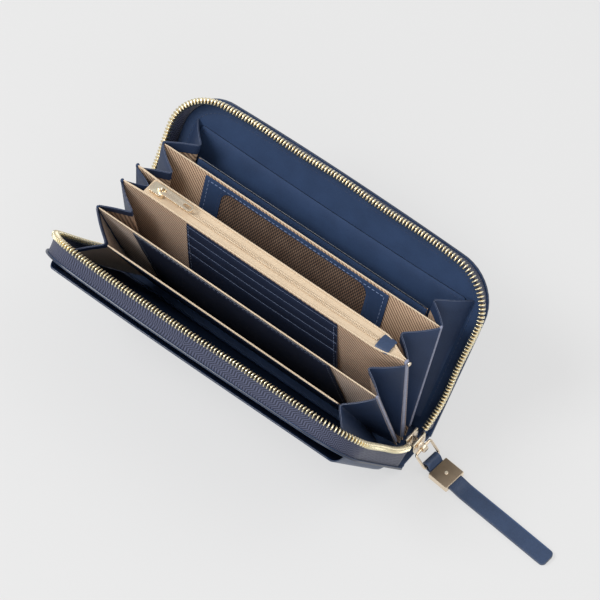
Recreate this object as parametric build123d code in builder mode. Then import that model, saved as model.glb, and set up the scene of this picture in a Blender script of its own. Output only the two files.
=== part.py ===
"""Zip around wallet: two zipped covers, a fan of dividers with V gussets, a coin pocket and a pull strap.

The wallet stands on its spine with both covers open, and the origin is at the middle of the spine's
bottom face. X runs along the spine, towards the end where the main slider rests, Y runs from the front
cover to the back cover, and Z is up. A leaf is a cover, wall or divider that leans from a fold near the
spine: its own sketch plane has x along the spine, y up the leaf, and z towards the front cover.
"""
import os
from math import atan2, cos, degrees, pi, radians, sin

from build123d import *

os.makedirs("parts", exist_ok=True)

# Covers
cover_length = 200.0
cover_width = 102.4          # from the fold to the outer edge
corner_radius = 26.0
edge_bow = 1.6               # how far the outer edge bows out between the corners
fold_half_gap = 11.5         # from the middle of the wallet to each cover fold
fold_height = 1.4
front_lean = -32.2           # degrees from upright, towards the back when positive
back_lean = 33.3
cover_start = 0.6            # the covers begin this far above their folds
leather_thickness = 1.0
board_thickness = 0.6
lining_thickness = 0.8
board_inset = 3.5
lining_inset = 2.4
lining_rise = 1.0            # the linings start this far above the covers

# Pockets on the covers
slot_thickness = 0.4
slot_tops = (88.0, 80.0, 72.0)
slot_length = 176.0
panel_start = 7.0
back_pocket_length = 174.0
back_pocket_top = 81.5
back_pocket_thickness = 0.8
slip_pocket_length = 188.0
slip_pocket_top = 84.0
slip_pocket_start = 4.0
slip_pocket_gap = 5.0        # how far the outside pocket stands open
slip_pocket_wall = 1.0
slip_pocket_radius = 5.0

# Main zip
tape_inset = 1.2
tape_thickness = 0.6
tape_start = 6.0
tape_cut = 1.0               # the inner cut runs this far past the ends of the tape
tooth_pitch = 1.95
tooth_width = 1.05
tooth_thickness = 2.8
tooth_length = 2.8
tooth_start = 9.0
mid_clearance = 0.6          # from the tooth tips to the middle of the closed wallet
stop_length = 3.0
stop_radius = 0.6

# Walls and dividers: lean, fold offset from the middle, and height up the leaf
wall_length = 180.0
wall_height = 81.4
leaf_start = 1.0
leaf_fold_height = 3.0
wall_fold = 3.4
divider_fold = 5.4
front_wall_lean = -15.2
rear_wall_lean = 17.5
front_divider_lean = -23.4
back_divider_lean = 25.7
fabric_thickness = 0.8
panel_thickness = 0.5
facing_thickness = 0.4
front_divider_height = 77.0
back_divider_height = 75.0
divider_length = 150.0
front_panel_ends = (-67.0, 61.0)
rear_panel_ends = (-61.0, 58.5)
panel_top_gap = 1.6
window_ends = (-49.0, 46.0)
window_bottom = 24.0
window_top = 76.5
window_radius = 6.0
mesh_thickness = 0.3
window_fit = 0.1

# Gussets
gusset_thickness = 0.45
gusset_inset = 14.5          # how far the valley folds sit inside the wall ends
gusset_start = 9.0           # height up the leaves where the gussets begin
gusset_gap = 0.35
cover_gusset_height = 83.0
cover_gusset_half = 90.8
valley_drop = 3.0            # the valley folds end this far below the wall tops
sharpest_bend = 0.35         # limits how far the corner of a folded V may reach

# Coin pocket
coin_height = 84.0
coin_start = 2.6
coin_wall_thickness = 0.6
coin_foot_half = 1.2
coin_foot_share = 0.03       # how much of its top bend a coin wall already has at its foot
coin_front_top = -4.3
coin_rear_top = 5.8
coin_left_front = -5.1
coin_left_rear = 6.6
coin_right_gap = 0.55
coin_right_middle = -0.6
coin_left_bend = 72.0
coin_right_bend = 76.0
coin_tape_thickness = 0.6
coin_tape_ends = (-77.0, 75.8)
coin_tape_gap = 0.05
coil_width = 2.2
coil_height = 0.8
coil_start = 1.0             # from the left end of the tape
coin_tab_ends = (72.4, 80.2)
coin_tab_thickness = 1.0
coin_tab_margin = 0.5        # at each side of the tab
coin_tab_radius = 1.2
rivet_radius = 1.3
rivet_length = 1.0
rivet_edge = 0.6
rivet_offset = 1.6           # beyond the end of the pocket
rivet_drop = 1.0             # below the top of the pocket
card_ends = (-48.0, 50.0)
card_layer = 0.2
card_backing = 0.2
card_tops = (78.0, 70.0, 62.0, 54.0)
card_start = 14.0
card_gap = 0.02
card_back_drop = 1.2         # from the top of the pocket to the top of the backing
end_fold_depth = 12.0
end_fold_start = 20.0        # above the foot of the pocket
end_fold_share = 0.25        # how much of the top bend the fold has where it starts
end_fold_drop = 1.0

# Coin slider and its pull
coin_slider_x = -71.0
coin_slider_length = 9.0
coin_slider_width = 6.4
coin_slider_height = 2.4
saddle_radius = 1.6
saddle_gap = 0.15            # between the saddle and the coil
bridge_offset = 1.5          # from the middle of the saddle
bridge_width = 1.6
bridge_radius = 1.5
bridge_rise = 0.9            # from the top of the saddle to the pull's axis
bridge_neck = 1.4
bridge_hole_radius = 0.6
coin_pull_length = 22.0
coin_pull_width = 4.4
coin_pull_thickness = 1.2
pull_overhang = 0.8          # behind the pull's axis
pull_eye = (5.2, 2.4)
pull_eye_offset = 1.2        # from the pull's axis
pull_window = (5.0, 2.0)
pull_window_offset = 4.2     # from the free end of the pull
pull_pin_radius = 0.35
pull_pin_length = 2.6

# Spine
spine_half = 10.2
spine_thickness = 1.2
spine_length = 198.0
spine_lining_half = 8.8
spine_lining_thickness = 0.8
spine_lining_length = 184.0

# Main slider
slider_bottom = 6.0
slider_height = 11.5
slider_half_width = 5.0
slider_plate = 1.4
slider_gap = 3.4             # between its two plates, where the teeth run
slider_web = 0.6
lug_width = 3.0
lug_height = 5.0
lug_reach = 2.2              # from the outer plate to the bail's axis
lug_hole_radius = 1.05
slider_nose = 0.6            # share of the width at the foot of a plate
slider_shoulder = 0.45       # share of the height at which a plate is at its widest

# Bail, clasp and strap
bail_wire = 0.75             # radius of the wire
bail_half_width = 6.1
bail_bend = 1.2
bail_length = 9.5
bail_drop = 50.0             # degrees below level
strap_yaw = -5.3
strap_width = 9.4
strap_thickness = 2.2
strap_length = 64.0
strap_end_radius = 2.5
clasp_length = 12.6
clasp_width = 13.6
clasp_height = 4.2
clasp_fit = 0.15
clasp_edge = 0.6
loop_thickness = 1.0
loop_clearance = 0.8
loop_neck = 1.0              # between the round of the loop and the clasp
clasp_gap = 0.1
strap_lead = 1.0             # the strap stays level this far beyond the clasp
strap_bend = 0.4             # the upper side bends this much later than the lower one
strap_rise = 6.0             # length over which the strap comes down from the clasp to the floor
stud_radius = 1.1
stud_height = 0.5

# Worked out from the sizes above
cover_thickness = leather_thickness + board_thickness + lining_thickness
inner_face = cover_thickness / 2
tape_end = fold_half_gap - mid_clearance - tooth_length
tape_root = inner_face - lining_thickness - board_thickness
wall_half = wall_length / 2
valley_half = wall_half - gusset_inset
divider_half = divider_length / 2
chain_inset = tape_inset + tape_thickness / 2
chain_x = cover_length / 2 - chain_inset
count = 0


def leaf(lean, fold_y, fold_z, depth=0.0):
    """The sketch plane of a leaf, moved towards the front cover by depth."""
    slope = radians(lean)
    plane = Plane(origin=(0, fold_y, fold_z), x_dir=(1, 0, 0), z_dir=(0, -cos(slope), sin(slope)))
    return plane.offset(depth)


def leaf_point(lean, fold_y, fold_z, x, height, depth=0.0):
    """A point at x, so far up a leaf and so far towards the front cover from it."""
    slope = radians(lean)
    y = fold_y + height * sin(slope) - depth * cos(slope)
    return Vector(x, y, fold_z + height * cos(slope) + depth * sin(slope))


def cover_plane(side, low, high):
    """The plane of a cover's layer between two depths, both measured inwards from the cover's middle."""
    if side == "front":
        return leaf(front_lean, -fold_half_gap, fold_height, -max(low, high))
    return leaf(back_lean, fold_half_gap, fold_height, min(low, high))


def cover_face(inset, bottom):
    """A cover's outline, drawn in by inset, with its lower edge at bottom."""
    half = cover_length / 2 - inset
    top = cover_width - inset
    radius = corner_radius - inset
    shoulder = top - edge_bow
    with BuildSketch() as face:
        with BuildLine():
            Line((-half, bottom), (half, bottom))
            Line((half, bottom), (half, shoulder - radius))
            CenterArc((half - radius, shoulder - radius), radius, 0, 90)
            ThreePointArc((half - radius, shoulder), (0, top), (radius - half, shoulder))
            CenterArc((radius - half, shoulder - radius), radius, 90, 90)
            Line((-half, shoulder - radius), (-half, bottom))
        make_face()
    return face.sketch


def block_face(left, right, bottom, top, radius=0.0):
    """A rectangle between its limits, its upper corners rounded by radius."""
    with BuildSketch() as face:
        with BuildLine():
            Polyline((left, bottom), (right, bottom), (right, top), (left, top), close=True)
        make_face()
        if radius > 0:
            fillet(face.vertices().group_by(Axis.Y)[-1], radius)
    return face.sketch


def keep(builder, name):
    """Labels a finished piece and writes its file."""
    global count
    builder.part.label = name
    export_step(builder.part, "parts/" + name + ".step")
    count += 1


# Covers: outer leather, stiffener board and lining, in layers from the outside in
for side in ("front", "back"):
    with BuildPart() as outer_leather:
        with BuildSketch(cover_plane(side, -inner_face, leather_thickness - inner_face)):
            add(cover_face(0, cover_start))
        extrude(amount=leather_thickness)
    keep(outer_leather, side + "_outer_leather")

    board_low = leather_thickness - inner_face
    with BuildPart() as board:
        with BuildSketch(cover_plane(side, board_low, board_low + board_thickness)):
            add(cover_face(board_inset, cover_start + board_inset))
        extrude(amount=board_thickness)
    keep(board, side + "_stiffener_board")

    with BuildPart() as lining:
        with BuildSketch(cover_plane(side, inner_face - lining_thickness, inner_face)):
            add(cover_face(lining_inset, cover_start + lining_rise))
        extrude(amount=lining_thickness)
    keep(lining, side + "_cover_lining")

# Card slots inside the front cover: three full-width layers, each lower than the one behind
for number, slot_top in enumerate(slot_tops):
    slot_low = inner_face + number * slot_thickness
    with BuildPart() as card_slot:
        with BuildSketch(cover_plane("front", slot_low, slot_low + slot_thickness)):
            add(block_face(-slot_length / 2, slot_length / 2, panel_start, slot_top))
        extrude(amount=slot_thickness)
    keep(card_slot, "front_card_slot_" + str(number + 1))

# Slip pocket inside the back cover
with BuildPart() as back_pocket:
    with BuildSketch(cover_plane("back", inner_face, inner_face + back_pocket_thickness)):
        add(block_face(-back_pocket_length / 2, back_pocket_length / 2, panel_start, back_pocket_top))
    extrude(amount=back_pocket_thickness)
keep(back_pocket, "back_slip_pocket")

# Slip pocket outside the front cover: a leather panel that stands off the cover, open at its top
pocket_depth = slip_pocket_gap + slip_pocket_wall
pocket_half = slip_pocket_length / 2
with BuildPart() as slip_pocket:
    with BuildSketch(cover_plane("front", -inner_face - pocket_depth, -inner_face)):
        add(block_face(-pocket_half, pocket_half, slip_pocket_start, slip_pocket_top, slip_pocket_radius))
    extrude(amount=pocket_depth)
    with BuildSketch(cover_plane("front", -inner_face - slip_pocket_gap, -inner_face)):
        add(
            block_face(
                slip_pocket_wall - pocket_half,
                pocket_half - slip_pocket_wall,
                slip_pocket_start + slip_pocket_wall,
                slip_pocket_top + slip_pocket_wall,
            )
        )
    extrude(amount=slip_pocket_gap, mode=Mode.SUBTRACT)
keep(slip_pocket, "front_slip_pocket")


# Main zip: a tape that stands on three sides of each cover, with teeth along its edge
def chain_places():
    """The middle of each tooth in the cover's plane, and the way it faces, from one end to the other."""
    half = cover_length / 2 - chain_inset
    shoulder = cover_width - chain_inset - edge_bow
    radius = corner_radius - chain_inset
    straight = shoulder - radius - tooth_start
    arc = radius * pi / 2
    top_half = half - radius
    whole = 2 * (straight + arc + top_half)
    teeth = int(whole / tooth_pitch)
    places = []
    for index in range(teeth + 1):
        run = index * whole / teeth
        mirror_x = 1 if run <= whole / 2 else -1
        run = min(run, whole - run)
        if run < straight:
            places.append((mirror_x * half, tooth_start + run, 90.0))
        elif run < straight + arc:
            turn = (run - straight) / radius
            x = top_half + radius * cos(turn)
            angle = 90 + mirror_x * degrees(turn)
            places.append((mirror_x * x, shoulder - radius + radius * sin(turn), angle))
        else:
            x = top_half - (run - straight - arc)
            bow = edge_bow * (1 - (x / top_half) ** 2)
            places.append((mirror_x * x, shoulder + bow, 0.0))
    return places


for side in ("front", "back"):
    with BuildPart() as tape:
        with BuildSketch(cover_plane(side, tape_root, tape_end)):
            add(cover_face(tape_inset, tape_start))
            add(cover_face(tape_inset + tape_thickness, tape_start - tape_cut), mode=Mode.SUBTRACT)
        extrude(amount=tape_end - tape_root)
    keep(tape, side + "_zip_tape")

    with BuildPart() as teeth:
        with BuildSketch(cover_plane(side, tape_end, tape_end + tooth_length)):
            for place_x, place_y, angle in chain_places():
                with Locations(Location((place_x, place_y), angle)):
                    Rectangle(tooth_width, tooth_thickness)
        extrude(amount=tooth_length)
    keep(teeth, side + "_zip_teeth")

    with BuildPart() as end_stop:
        stop_y = tooth_start - tooth_width - stop_length / 2
        with BuildSketch(cover_plane(side, tape_end, tape_end + tooth_length)):
            with Locations((-chain_x, stop_y)):
                RectangleRounded(tooth_thickness, stop_length, stop_radius)
        extrude(amount=tooth_length)
    keep(end_stop, side + "_zip_end_stop")

# Spine: the leather that the wallet stands on, and the lining above it
with BuildPart() as spine_leather:
    with BuildSketch():
        Rectangle(spine_length, 2 * spine_half)
    extrude(amount=spine_thickness)
    fillet(spine_leather.edges().filter_by(Axis.X).group_by(Axis.Z)[0], spine_thickness * 0.45)
keep(spine_leather, "spine_leather")

with BuildPart() as spine_lining:
    with BuildSketch(Plane.XY.offset(spine_thickness)):
        Rectangle(spine_lining_length, 2 * spine_lining_half)
    extrude(amount=spine_lining_thickness)
keep(spine_lining, "spine_lining")

# Walls: twill leaves with a leather panel on the front face
wall_sides = (
    ("front_wall", front_wall_lean, -wall_fold, front_panel_ends),
    ("rear_wall", rear_wall_lean, wall_fold, rear_panel_ends),
)
for wall_name, lean, fold_y, panel_ends in wall_sides:
    with BuildPart() as wall_fabric:
        with BuildSketch(leaf(lean, fold_y, leaf_fold_height, -fabric_thickness / 2)):
            add(block_face(-wall_half, wall_half, leaf_start, wall_height))
        extrude(amount=fabric_thickness)
    keep(wall_fabric, wall_name + "_lining")

    with BuildPart() as wall_panel:
        with BuildSketch(leaf(lean, fold_y, leaf_fold_height, fabric_thickness / 2)):
            add(block_face(panel_ends[0], panel_ends[1], panel_start, wall_height - panel_top_gap))
            if wall_name == "rear_wall":
                window = block_face(window_ends[0], window_ends[1], window_bottom, window_top)
                add(window, mode=Mode.SUBTRACT)
        extrude(amount=panel_thickness)
        if wall_name == "rear_wall":
            window_edges = wall_panel.edges().filter_by(
                lambda edge: abs(edge.length - panel_thickness) < 1e-6
                and window_ends[0] - 1 < edge.center().X < window_ends[1] + 1
            )
            fillet(window_edges, window_radius)
    keep(wall_panel, wall_name + "_panel")

# Mesh filling the window of the rear wall
window_length = window_ends[1] - window_ends[0] - 2 * window_fit
window_height = window_top - window_bottom - 2 * window_fit
with BuildPart() as window_mesh:
    with BuildSketch(leaf(rear_wall_lean, wall_fold, leaf_fold_height, fabric_thickness / 2)):
        with Locations(((window_ends[0] + window_ends[1]) / 2, (window_bottom + window_top) / 2)):
            RectangleRounded(window_length, window_height, window_radius)
    extrude(amount=mesh_thickness)
keep(window_mesh, "rear_wall_window_mesh")

# Dividers: they hang on the valley folds between a wall and a cover
divider_sides = (
    ("front_divider", front_divider_lean, -divider_fold, front_divider_height),
    ("back_divider", back_divider_lean, divider_fold, back_divider_height),
)
for divider_name, lean, fold_y, height in divider_sides:
    with BuildPart() as divider_core:
        with BuildSketch(leaf(lean, fold_y, leaf_fold_height, -facing_thickness)):
            add(block_face(-divider_half, divider_half, leaf_start, height))
        extrude(amount=facing_thickness)
    keep(divider_core, divider_name + "_lining")

    with BuildPart() as divider_facing:
        with BuildSketch(leaf(lean, fold_y, leaf_fold_height)):
            add(block_face(-divider_half, divider_half, leaf_start, height - panel_top_gap / 2))
        extrude(amount=facing_thickness)
    keep(divider_facing, divider_name + "_facing")


# Gussets: thin V folds at both ends of the fan
def vee_outline(first, valley, last, thickness):
    """The six corners of a V of even thickness through three points of a plane."""
    half = thickness / 2
    way_in = (valley - first).normalized()
    way_out = (last - valley).normalized()
    side_in = Vector(-way_in.Y, way_in.X)
    side_out = Vector(-way_out.Y, way_out.X)
    middle = (side_in + side_out).normalized()
    reach = half / max(sharpest_bend, middle.dot(side_in))
    upper = [first + side_in * half, valley + middle * reach, last + side_out * half]
    lower = [last - side_out * half, valley - middle * reach, first - side_in * half]
    return [(corner.X, corner.Y) for corner in upper + lower]


def gusset(bottom, top):
    """A V gusset between its three lower and its three upper points."""
    with BuildPart() as fold:
        for points in (bottom, top):
            normal = (points[1] - points[0]).cross(points[2] - points[1])
            if normal.Z < 0:
                normal = normal * -1
            plane = Plane(origin=points[1], x_dir=points[0] - points[1], z_dir=normal)
            corners = [plane.to_local_coords(point) for point in points]
            with BuildSketch(plane):
                with BuildLine():
                    Polyline(*vee_outline(*corners, gusset_thickness), close=True)
                make_face()
        loft(ruled=True)
    return fold


outer_edge = wall_half + gusset_gap + gusset_thickness / 2


def wall_edge(name, mirror_x, height, towards_front):
    """A point on the outside of a wall's end, on the face that looks to the front or to the back."""
    lean = front_wall_lean if name == "front" else rear_wall_lean
    fold_y = -wall_fold if name == "front" else wall_fold
    depth = fabric_thickness / 2 + gusset_gap + gusset_thickness / 2
    facing = 1 if towards_front else -1
    return leaf_point(lean, fold_y, leaf_fold_height, mirror_x * outer_edge, height, facing * depth)


def cover_edge(name, mirror_x, height):
    """A point just inside a cover, where a gusset is sewn to it."""
    inward = inner_face + gusset_gap + gusset_thickness
    if name == "front":
        return leaf_point(front_lean, -fold_half_gap, fold_height, mirror_x * cover_gusset_half, height, -inward)
    return leaf_point(back_lean, fold_half_gap, fold_height, mirror_x * cover_gusset_half, height, inward)


def coin_point(face, mirror_x, height):
    """A point on the outside of the coin pocket's end, at a height above the spine."""
    share = (height - coin_start) / (coin_height - coin_start)
    if mirror_x < 0:
        top_y = coin_left_front if face == "front" else coin_left_rear
    else:
        top_y = coin_right_middle + (-coin_right_gap if face == "front" else coin_right_gap)
    toward = -1 if face == "front" else 1
    foot_y = toward * coin_foot_half
    clear = toward * (coin_wall_thickness / 2 + gusset_gap + gusset_thickness / 2)
    return Vector(mirror_x * outer_edge, foot_y + share * (top_y - foot_y) + clear, height)


def between(first, last, mirror_x, drop):
    """The valley point halfway between two edge points, moved in from the end and down a little."""
    middle = (first + last) * 0.5
    return Vector(mirror_x * valley_half, middle.Y, middle.Z - drop)


for mirror_x, end_name in ((-1, "left"), (1, "right")):
    valley_x = mirror_x * (divider_half + gusset_gap + gusset_thickness)
    levels = ((gusset_start, 0.0), (wall_height, valley_drop))

    rings = []
    for height, drop in levels:
        cover_height = height if height == gusset_start else cover_gusset_height
        valley_height = height if height == gusset_start else front_divider_height
        valley = leaf_point(front_divider_lean, -divider_fold, leaf_fold_height, valley_x, valley_height)
        rings.append(
            [cover_edge("front", mirror_x, cover_height), valley, wall_edge("front", mirror_x, height, True)]
        )
    keep(gusset(rings[0], rings[1]), "front_gusset_" + end_name)

    rings = []
    for height, drop in levels:
        wall_point = wall_edge("front", mirror_x, height, False)
        coin = coin_point("front", mirror_x, wall_point.Z)
        rings.append([wall_point, between(wall_point, coin, mirror_x, drop), coin])
    keep(gusset(rings[0], rings[1]), "front_inner_gusset_" + end_name)

    rings = []
    for height, drop in levels:
        wall_point = wall_edge("rear", mirror_x, height, True)
        coin = coin_point("rear", mirror_x, wall_point.Z)
        rings.append([coin, between(wall_point, coin, mirror_x, drop), wall_point])
    keep(gusset(rings[0], rings[1]), "rear_inner_gusset_" + end_name)

    rings = []
    for height, drop in levels:
        cover_height = height if height == gusset_start else cover_gusset_height
        valley_height = height if height == gusset_start else wall_height
        valley = leaf_point(back_divider_lean, divider_fold, leaf_fold_height, valley_x, valley_height)
        rings.append(
            [wall_edge("rear", mirror_x, height, False), valley, cover_edge("back", mirror_x, cover_height)]
        )
    keep(gusset(rings[0], rings[1]), "back_gusset_" + end_name)


# Coin pocket: two twill walls that meet at the right end and stand apart along the zip
def coin_wall_outline(face, share):
    """A coin wall's section at a share of its height: even at the foot, bent at both ends at the top."""
    toward = -1 if face == "front" else 1
    foot = toward * coin_foot_half
    long_y = coin_front_top if face == "front" else coin_rear_top
    left_y = coin_left_front if face == "front" else coin_left_rear
    right_y = coin_right_middle + toward * coin_right_gap
    half = coin_wall_thickness / 2
    line = [
        (-wall_half, foot + share * (left_y - foot)),
        (-coin_left_bend, foot + share * (long_y - foot)),
        (coin_right_bend, foot + share * (long_y - foot)),
        (wall_half, foot + share * (right_y - foot)),
    ]
    near = [(x, y - half) for x, y in line]
    far = [(x, y + half) for x, y in reversed(line)]
    return near + far


for face_name in ("front", "rear"):
    with BuildPart() as coin_wall:
        for level, share in ((coin_start, coin_foot_share), (coin_height, 1.0)):
            with BuildSketch(Plane.XY.offset(level)):
                with BuildLine():
                    Polyline(*coin_wall_outline(face_name, share), close=True)
                make_face()
        loft(ruled=True)
    keep(coin_wall, "coin_pocket_" + face_name + "_wall")

# Cards go into four stepped layers on the front of the coin pocket
card_fold_y = -coin_foot_half + coin_foot_share * (coin_front_top + coin_foot_half)
coin_lean = degrees(atan2(coin_front_top - card_fold_y, coin_height - coin_start))
with BuildPart() as card_back:
    with BuildSketch(leaf(coin_lean, card_fold_y, coin_start, coin_wall_thickness / 2 + card_gap)):
        add(block_face(card_ends[0], card_ends[1], card_start, coin_height - coin_start - card_back_drop))
    extrude(amount=card_backing)
keep(card_back, "card_panel_backing")

for number, card_top in enumerate(card_tops):
    layer_depth = coin_wall_thickness / 2 + card_gap + card_backing + number * card_layer
    with BuildPart() as card_slot:
        with BuildSketch(leaf(coin_lean, card_fold_y, coin_start, layer_depth)):
            add(block_face(card_ends[0], card_ends[1], card_start, card_top))
        extrude(amount=card_layer)
    keep(card_slot, "card_slot_" + str(number + 1))

# Coin zip: tape between the walls, coil along its middle, leather tab at the right end
coin_tape_front = coin_front_top + coin_wall_thickness / 2 + coin_tape_gap
coin_tape_rear = coin_rear_top - coin_wall_thickness / 2 - coin_tape_gap
coin_middle = (coin_tape_front + coin_tape_rear) / 2
coin_tape_base = coin_height - coin_tape_thickness
with BuildPart() as coin_tape:
    with BuildSketch(Plane.XY.offset(coin_tape_base)):
        with BuildLine():
            Polyline(
                (coin_tape_ends[0], coin_tape_front),
                (coin_tape_ends[1], coin_tape_front),
                (coin_tape_ends[1], coin_tape_rear),
                (coin_tape_ends[0], coin_tape_rear),
                close=True,
            )
        make_face()
    extrude(amount=coin_tape_thickness)
keep(coin_tape, "coin_zip_tape")

coil_ends = (coin_tape_ends[0] + coil_start, coin_tab_ends[0])
with BuildPart() as coil:
    with BuildSketch(Plane.XY.offset(coin_height)):
        with Locations(((coil_ends[0] + coil_ends[1]) / 2, coin_middle)):
            Rectangle(coil_ends[1] - coil_ends[0], coil_width)
    extrude(amount=coil_height)
    fillet(coil.edges().filter_by(Axis.X).group_by(Axis.Z)[-1], coil_height * 0.45)
keep(coil, "coin_zip_coil")

with BuildPart() as coin_tab:
    tab_length = coin_tab_ends[1] - coin_tab_ends[0]
    tab_width = coin_tape_rear - coin_tape_front - 2 * coin_tab_margin
    with BuildSketch(Plane.XY.offset(coin_height)):
        with Locations(((coin_tab_ends[0] + coin_tab_ends[1]) / 2, coin_middle)):
            RectangleRounded(tab_length, tab_width, coin_tab_radius)
    extrude(amount=coin_tab_thickness)
keep(coin_tab, "coin_zip_end_tab")

with BuildPart() as corner_rivet:
    rivet_place = (wall_half + rivet_offset, coin_right_middle, coin_height - rivet_drop)
    rivet_plane = Plane(origin=rivet_place, z_dir=(1, 0, 0))
    with BuildSketch(rivet_plane):
        Circle(rivet_radius)
    extrude(amount=rivet_length)
    fillet(corner_rivet.edges().group_by(Axis.X)[-1], rivet_edge)
keep(corner_rivet, "coin_pocket_rivet")

with BuildPart() as end_fold:
    for level, share in ((coin_start + end_fold_start, end_fold_share), (coin_height - end_fold_drop, 1.0)):
        front_y = -coin_foot_half + share * (coin_left_front + coin_foot_half) + coin_wall_thickness
        rear_y = coin_foot_half + share * (coin_left_rear - coin_foot_half) - coin_wall_thickness
        fold_points = [
            Vector(-wall_half, front_y),
            Vector(end_fold_depth - wall_half, (front_y + rear_y) / 2),
            Vector(-wall_half, rear_y),
        ]
        with BuildSketch(Plane.XY.offset(level)):
            with BuildLine():
                Polyline(*vee_outline(*fold_points, gusset_thickness), close=True)
            make_face()
    loft(ruled=True)
keep(end_fold, "coin_pocket_end_fold")

# Coin slider: a small saddle that runs on the coil, with a flat pull hinged on top
saddle_base = coin_height + saddle_gap
with BuildPart() as coin_slider:
    with BuildSketch(Plane.XY.offset(saddle_base)):
        with Locations((coin_slider_x, coin_middle)):
            RectangleRounded(coin_slider_length, coin_slider_width, saddle_radius)
    extrude(amount=coin_slider_height)
    with BuildSketch(Plane.XY.offset(saddle_base)):
        with Locations((coin_slider_x, coin_middle)):
            Rectangle(2 * coin_slider_length, coil_width + 2 * saddle_gap)
    extrude(amount=coil_height + saddle_gap, mode=Mode.SUBTRACT)
    bridge_x = coin_slider_x + bridge_offset
    bridge_origin = (bridge_x, coin_middle + bridge_width / 2, saddle_base + coin_slider_height + bridge_rise)
    with BuildSketch(Plane(origin=bridge_origin, z_dir=(0, 1, 0), x_dir=(1, 0, 0))):
        Circle(bridge_radius)
        with Locations((0, bridge_neck / 2)):
            Rectangle(2 * bridge_radius, bridge_neck)
        Circle(bridge_hole_radius, mode=Mode.SUBTRACT)
    extrude(amount=-bridge_width)
keep(coin_slider, "coin_slider")

pull_axis_z = saddle_base + coin_slider_height + bridge_rise
with BuildPart() as coin_pull:
    with BuildSketch(Plane.XY.offset(pull_axis_z - coin_pull_thickness / 2)):
        with Locations((bridge_x - pull_overhang + coin_pull_length / 2, coin_middle)):
            SlotOverall(coin_pull_length, coin_pull_width)
        with Locations((bridge_x + pull_eye_offset, coin_middle)):
            SlotOverall(*pull_eye, mode=Mode.SUBTRACT)
        with Locations((bridge_x + coin_pull_length - pull_window_offset, coin_middle)):
            SlotOverall(*pull_window, mode=Mode.SUBTRACT)
    extrude(amount=coin_pull_thickness)
    pin_start = (bridge_x, coin_middle - pull_pin_length / 2, pull_axis_z)
    with BuildSketch(Plane(origin=pin_start, z_dir=(0, 1, 0))):
        Circle(pull_pin_radius)
    extrude(amount=pull_pin_length)
keep(coin_pull, "coin_pull")

# Main slider: two plates on each side of the teeth, joined by a thin web, with a lug for the bail
slider_top = slider_bottom + slider_height
outer_plate_x = chain_x + slider_gap / 2
lug_axis_x = outer_plate_x + slider_plate + lug_reach
lug_axis_z = slider_bottom + slider_height / 2
with BuildPart() as slider_body:
    for plate_x in (chain_x - slider_gap / 2 - slider_plate, outer_plate_x):
        plate_plane = Plane(origin=(plate_x, 0, slider_bottom), x_dir=(0, 1, 0), z_dir=(1, 0, 0))
        with BuildSketch(plate_plane):
            with BuildLine():
                Polyline(
                    (-slider_half_width * slider_nose, 0),
                    (slider_half_width * slider_nose, 0),
                    (slider_half_width, slider_height * slider_shoulder),
                    (slider_half_width, slider_height),
                    (-slider_half_width, slider_height),
                    (-slider_half_width, slider_height * slider_shoulder),
                    close=True,
                )
            make_face()
        extrude(amount=slider_plate)
    with BuildSketch(Plane(origin=(chain_x - slider_gap / 2, 0, 0), x_dir=(0, 1, 0), z_dir=(1, 0, 0))):
        with Locations((0, slider_bottom + slider_height / 2)):
            Rectangle(slider_web, slider_height)
    extrude(amount=slider_gap)
    with BuildSketch(Plane(origin=(0, -lug_width / 2, 0), x_dir=(1, 0, 0), z_dir=(0, -1, 0))):
        with Locations((lug_axis_x - lug_reach / 2, lug_axis_z)):
            Rectangle(lug_reach, lug_height)
        with Locations((lug_axis_x, lug_axis_z)):
            Circle(lug_height / 2)
            Circle(lug_hole_radius, mode=Mode.SUBTRACT)
    extrude(amount=-lug_width)
keep(slider_body, "main_slider")

# Bail: a wire loop through the lug, long enough for the leather loop at its far bar
bail_slope = radians(bail_drop)
bail_far = Vector(lug_axis_x + bail_length * cos(bail_slope), 0, lug_axis_z - bail_length * sin(bail_slope))
bail_plane = Plane(
    origin=(lug_axis_x, 0, lug_axis_z),
    x_dir=(cos(bail_slope), 0, -sin(bail_slope)),
    z_dir=(sin(bail_slope), 0, cos(bail_slope)),
)
with BuildPart() as bail:
    with BuildLine(bail_plane) as bail_path:
        FilletPolyline(
            (0, bail_half_width),
            (bail_length, bail_half_width),
            (bail_length, -bail_half_width),
            (0, -bail_half_width),
            radius=bail_bend,
            close=True,
        )
    with BuildSketch(Plane(origin=bail_path.line @ 0, z_dir=bail_path.line % 0)):
        Circle(bail_wire)
    sweep()
keep(bail, "main_slider_bail")

# Strap: a leather loop round the bail, a clasp over its ends and the long strap, all a little turned
strap_turn = radians(strap_yaw)
strap_x = Vector(cos(strap_turn), sin(strap_turn), 0)
strap_y = Vector(-sin(strap_turn), cos(strap_turn), 0)
clasp_mid_z = clasp_height / 2
loop_inner = bail_wire + loop_clearance
loop_outer = loop_inner + loop_thickness
clasp_start = loop_outer + loop_neck
loop_tail = clasp_length / 2
side_origin = Vector(bail_far.X, 0, 0) - strap_y * (strap_width / 2)
side_plane = Plane(origin=side_origin, x_dir=strap_x, z_dir=-strap_y)
tail_half = strap_thickness / 2
with BuildPart() as strap_loop:
    with BuildSketch(side_plane):
        with BuildLine():
            CenterArc((0, bail_far.Z), loop_outer, 0, 360)
            Line((clasp_start, clasp_mid_z - tail_half), (clasp_start, clasp_mid_z + tail_half))
        make_hull()
        with Locations((clasp_start + loop_tail / 2, clasp_mid_z)):
            Rectangle(loop_tail, strap_thickness)
        with Locations((0, bail_far.Z)):
            Circle(loop_inner, mode=Mode.SUBTRACT)
    extrude(amount=-strap_width)
keep(strap_loop, "strap_loop")

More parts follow.
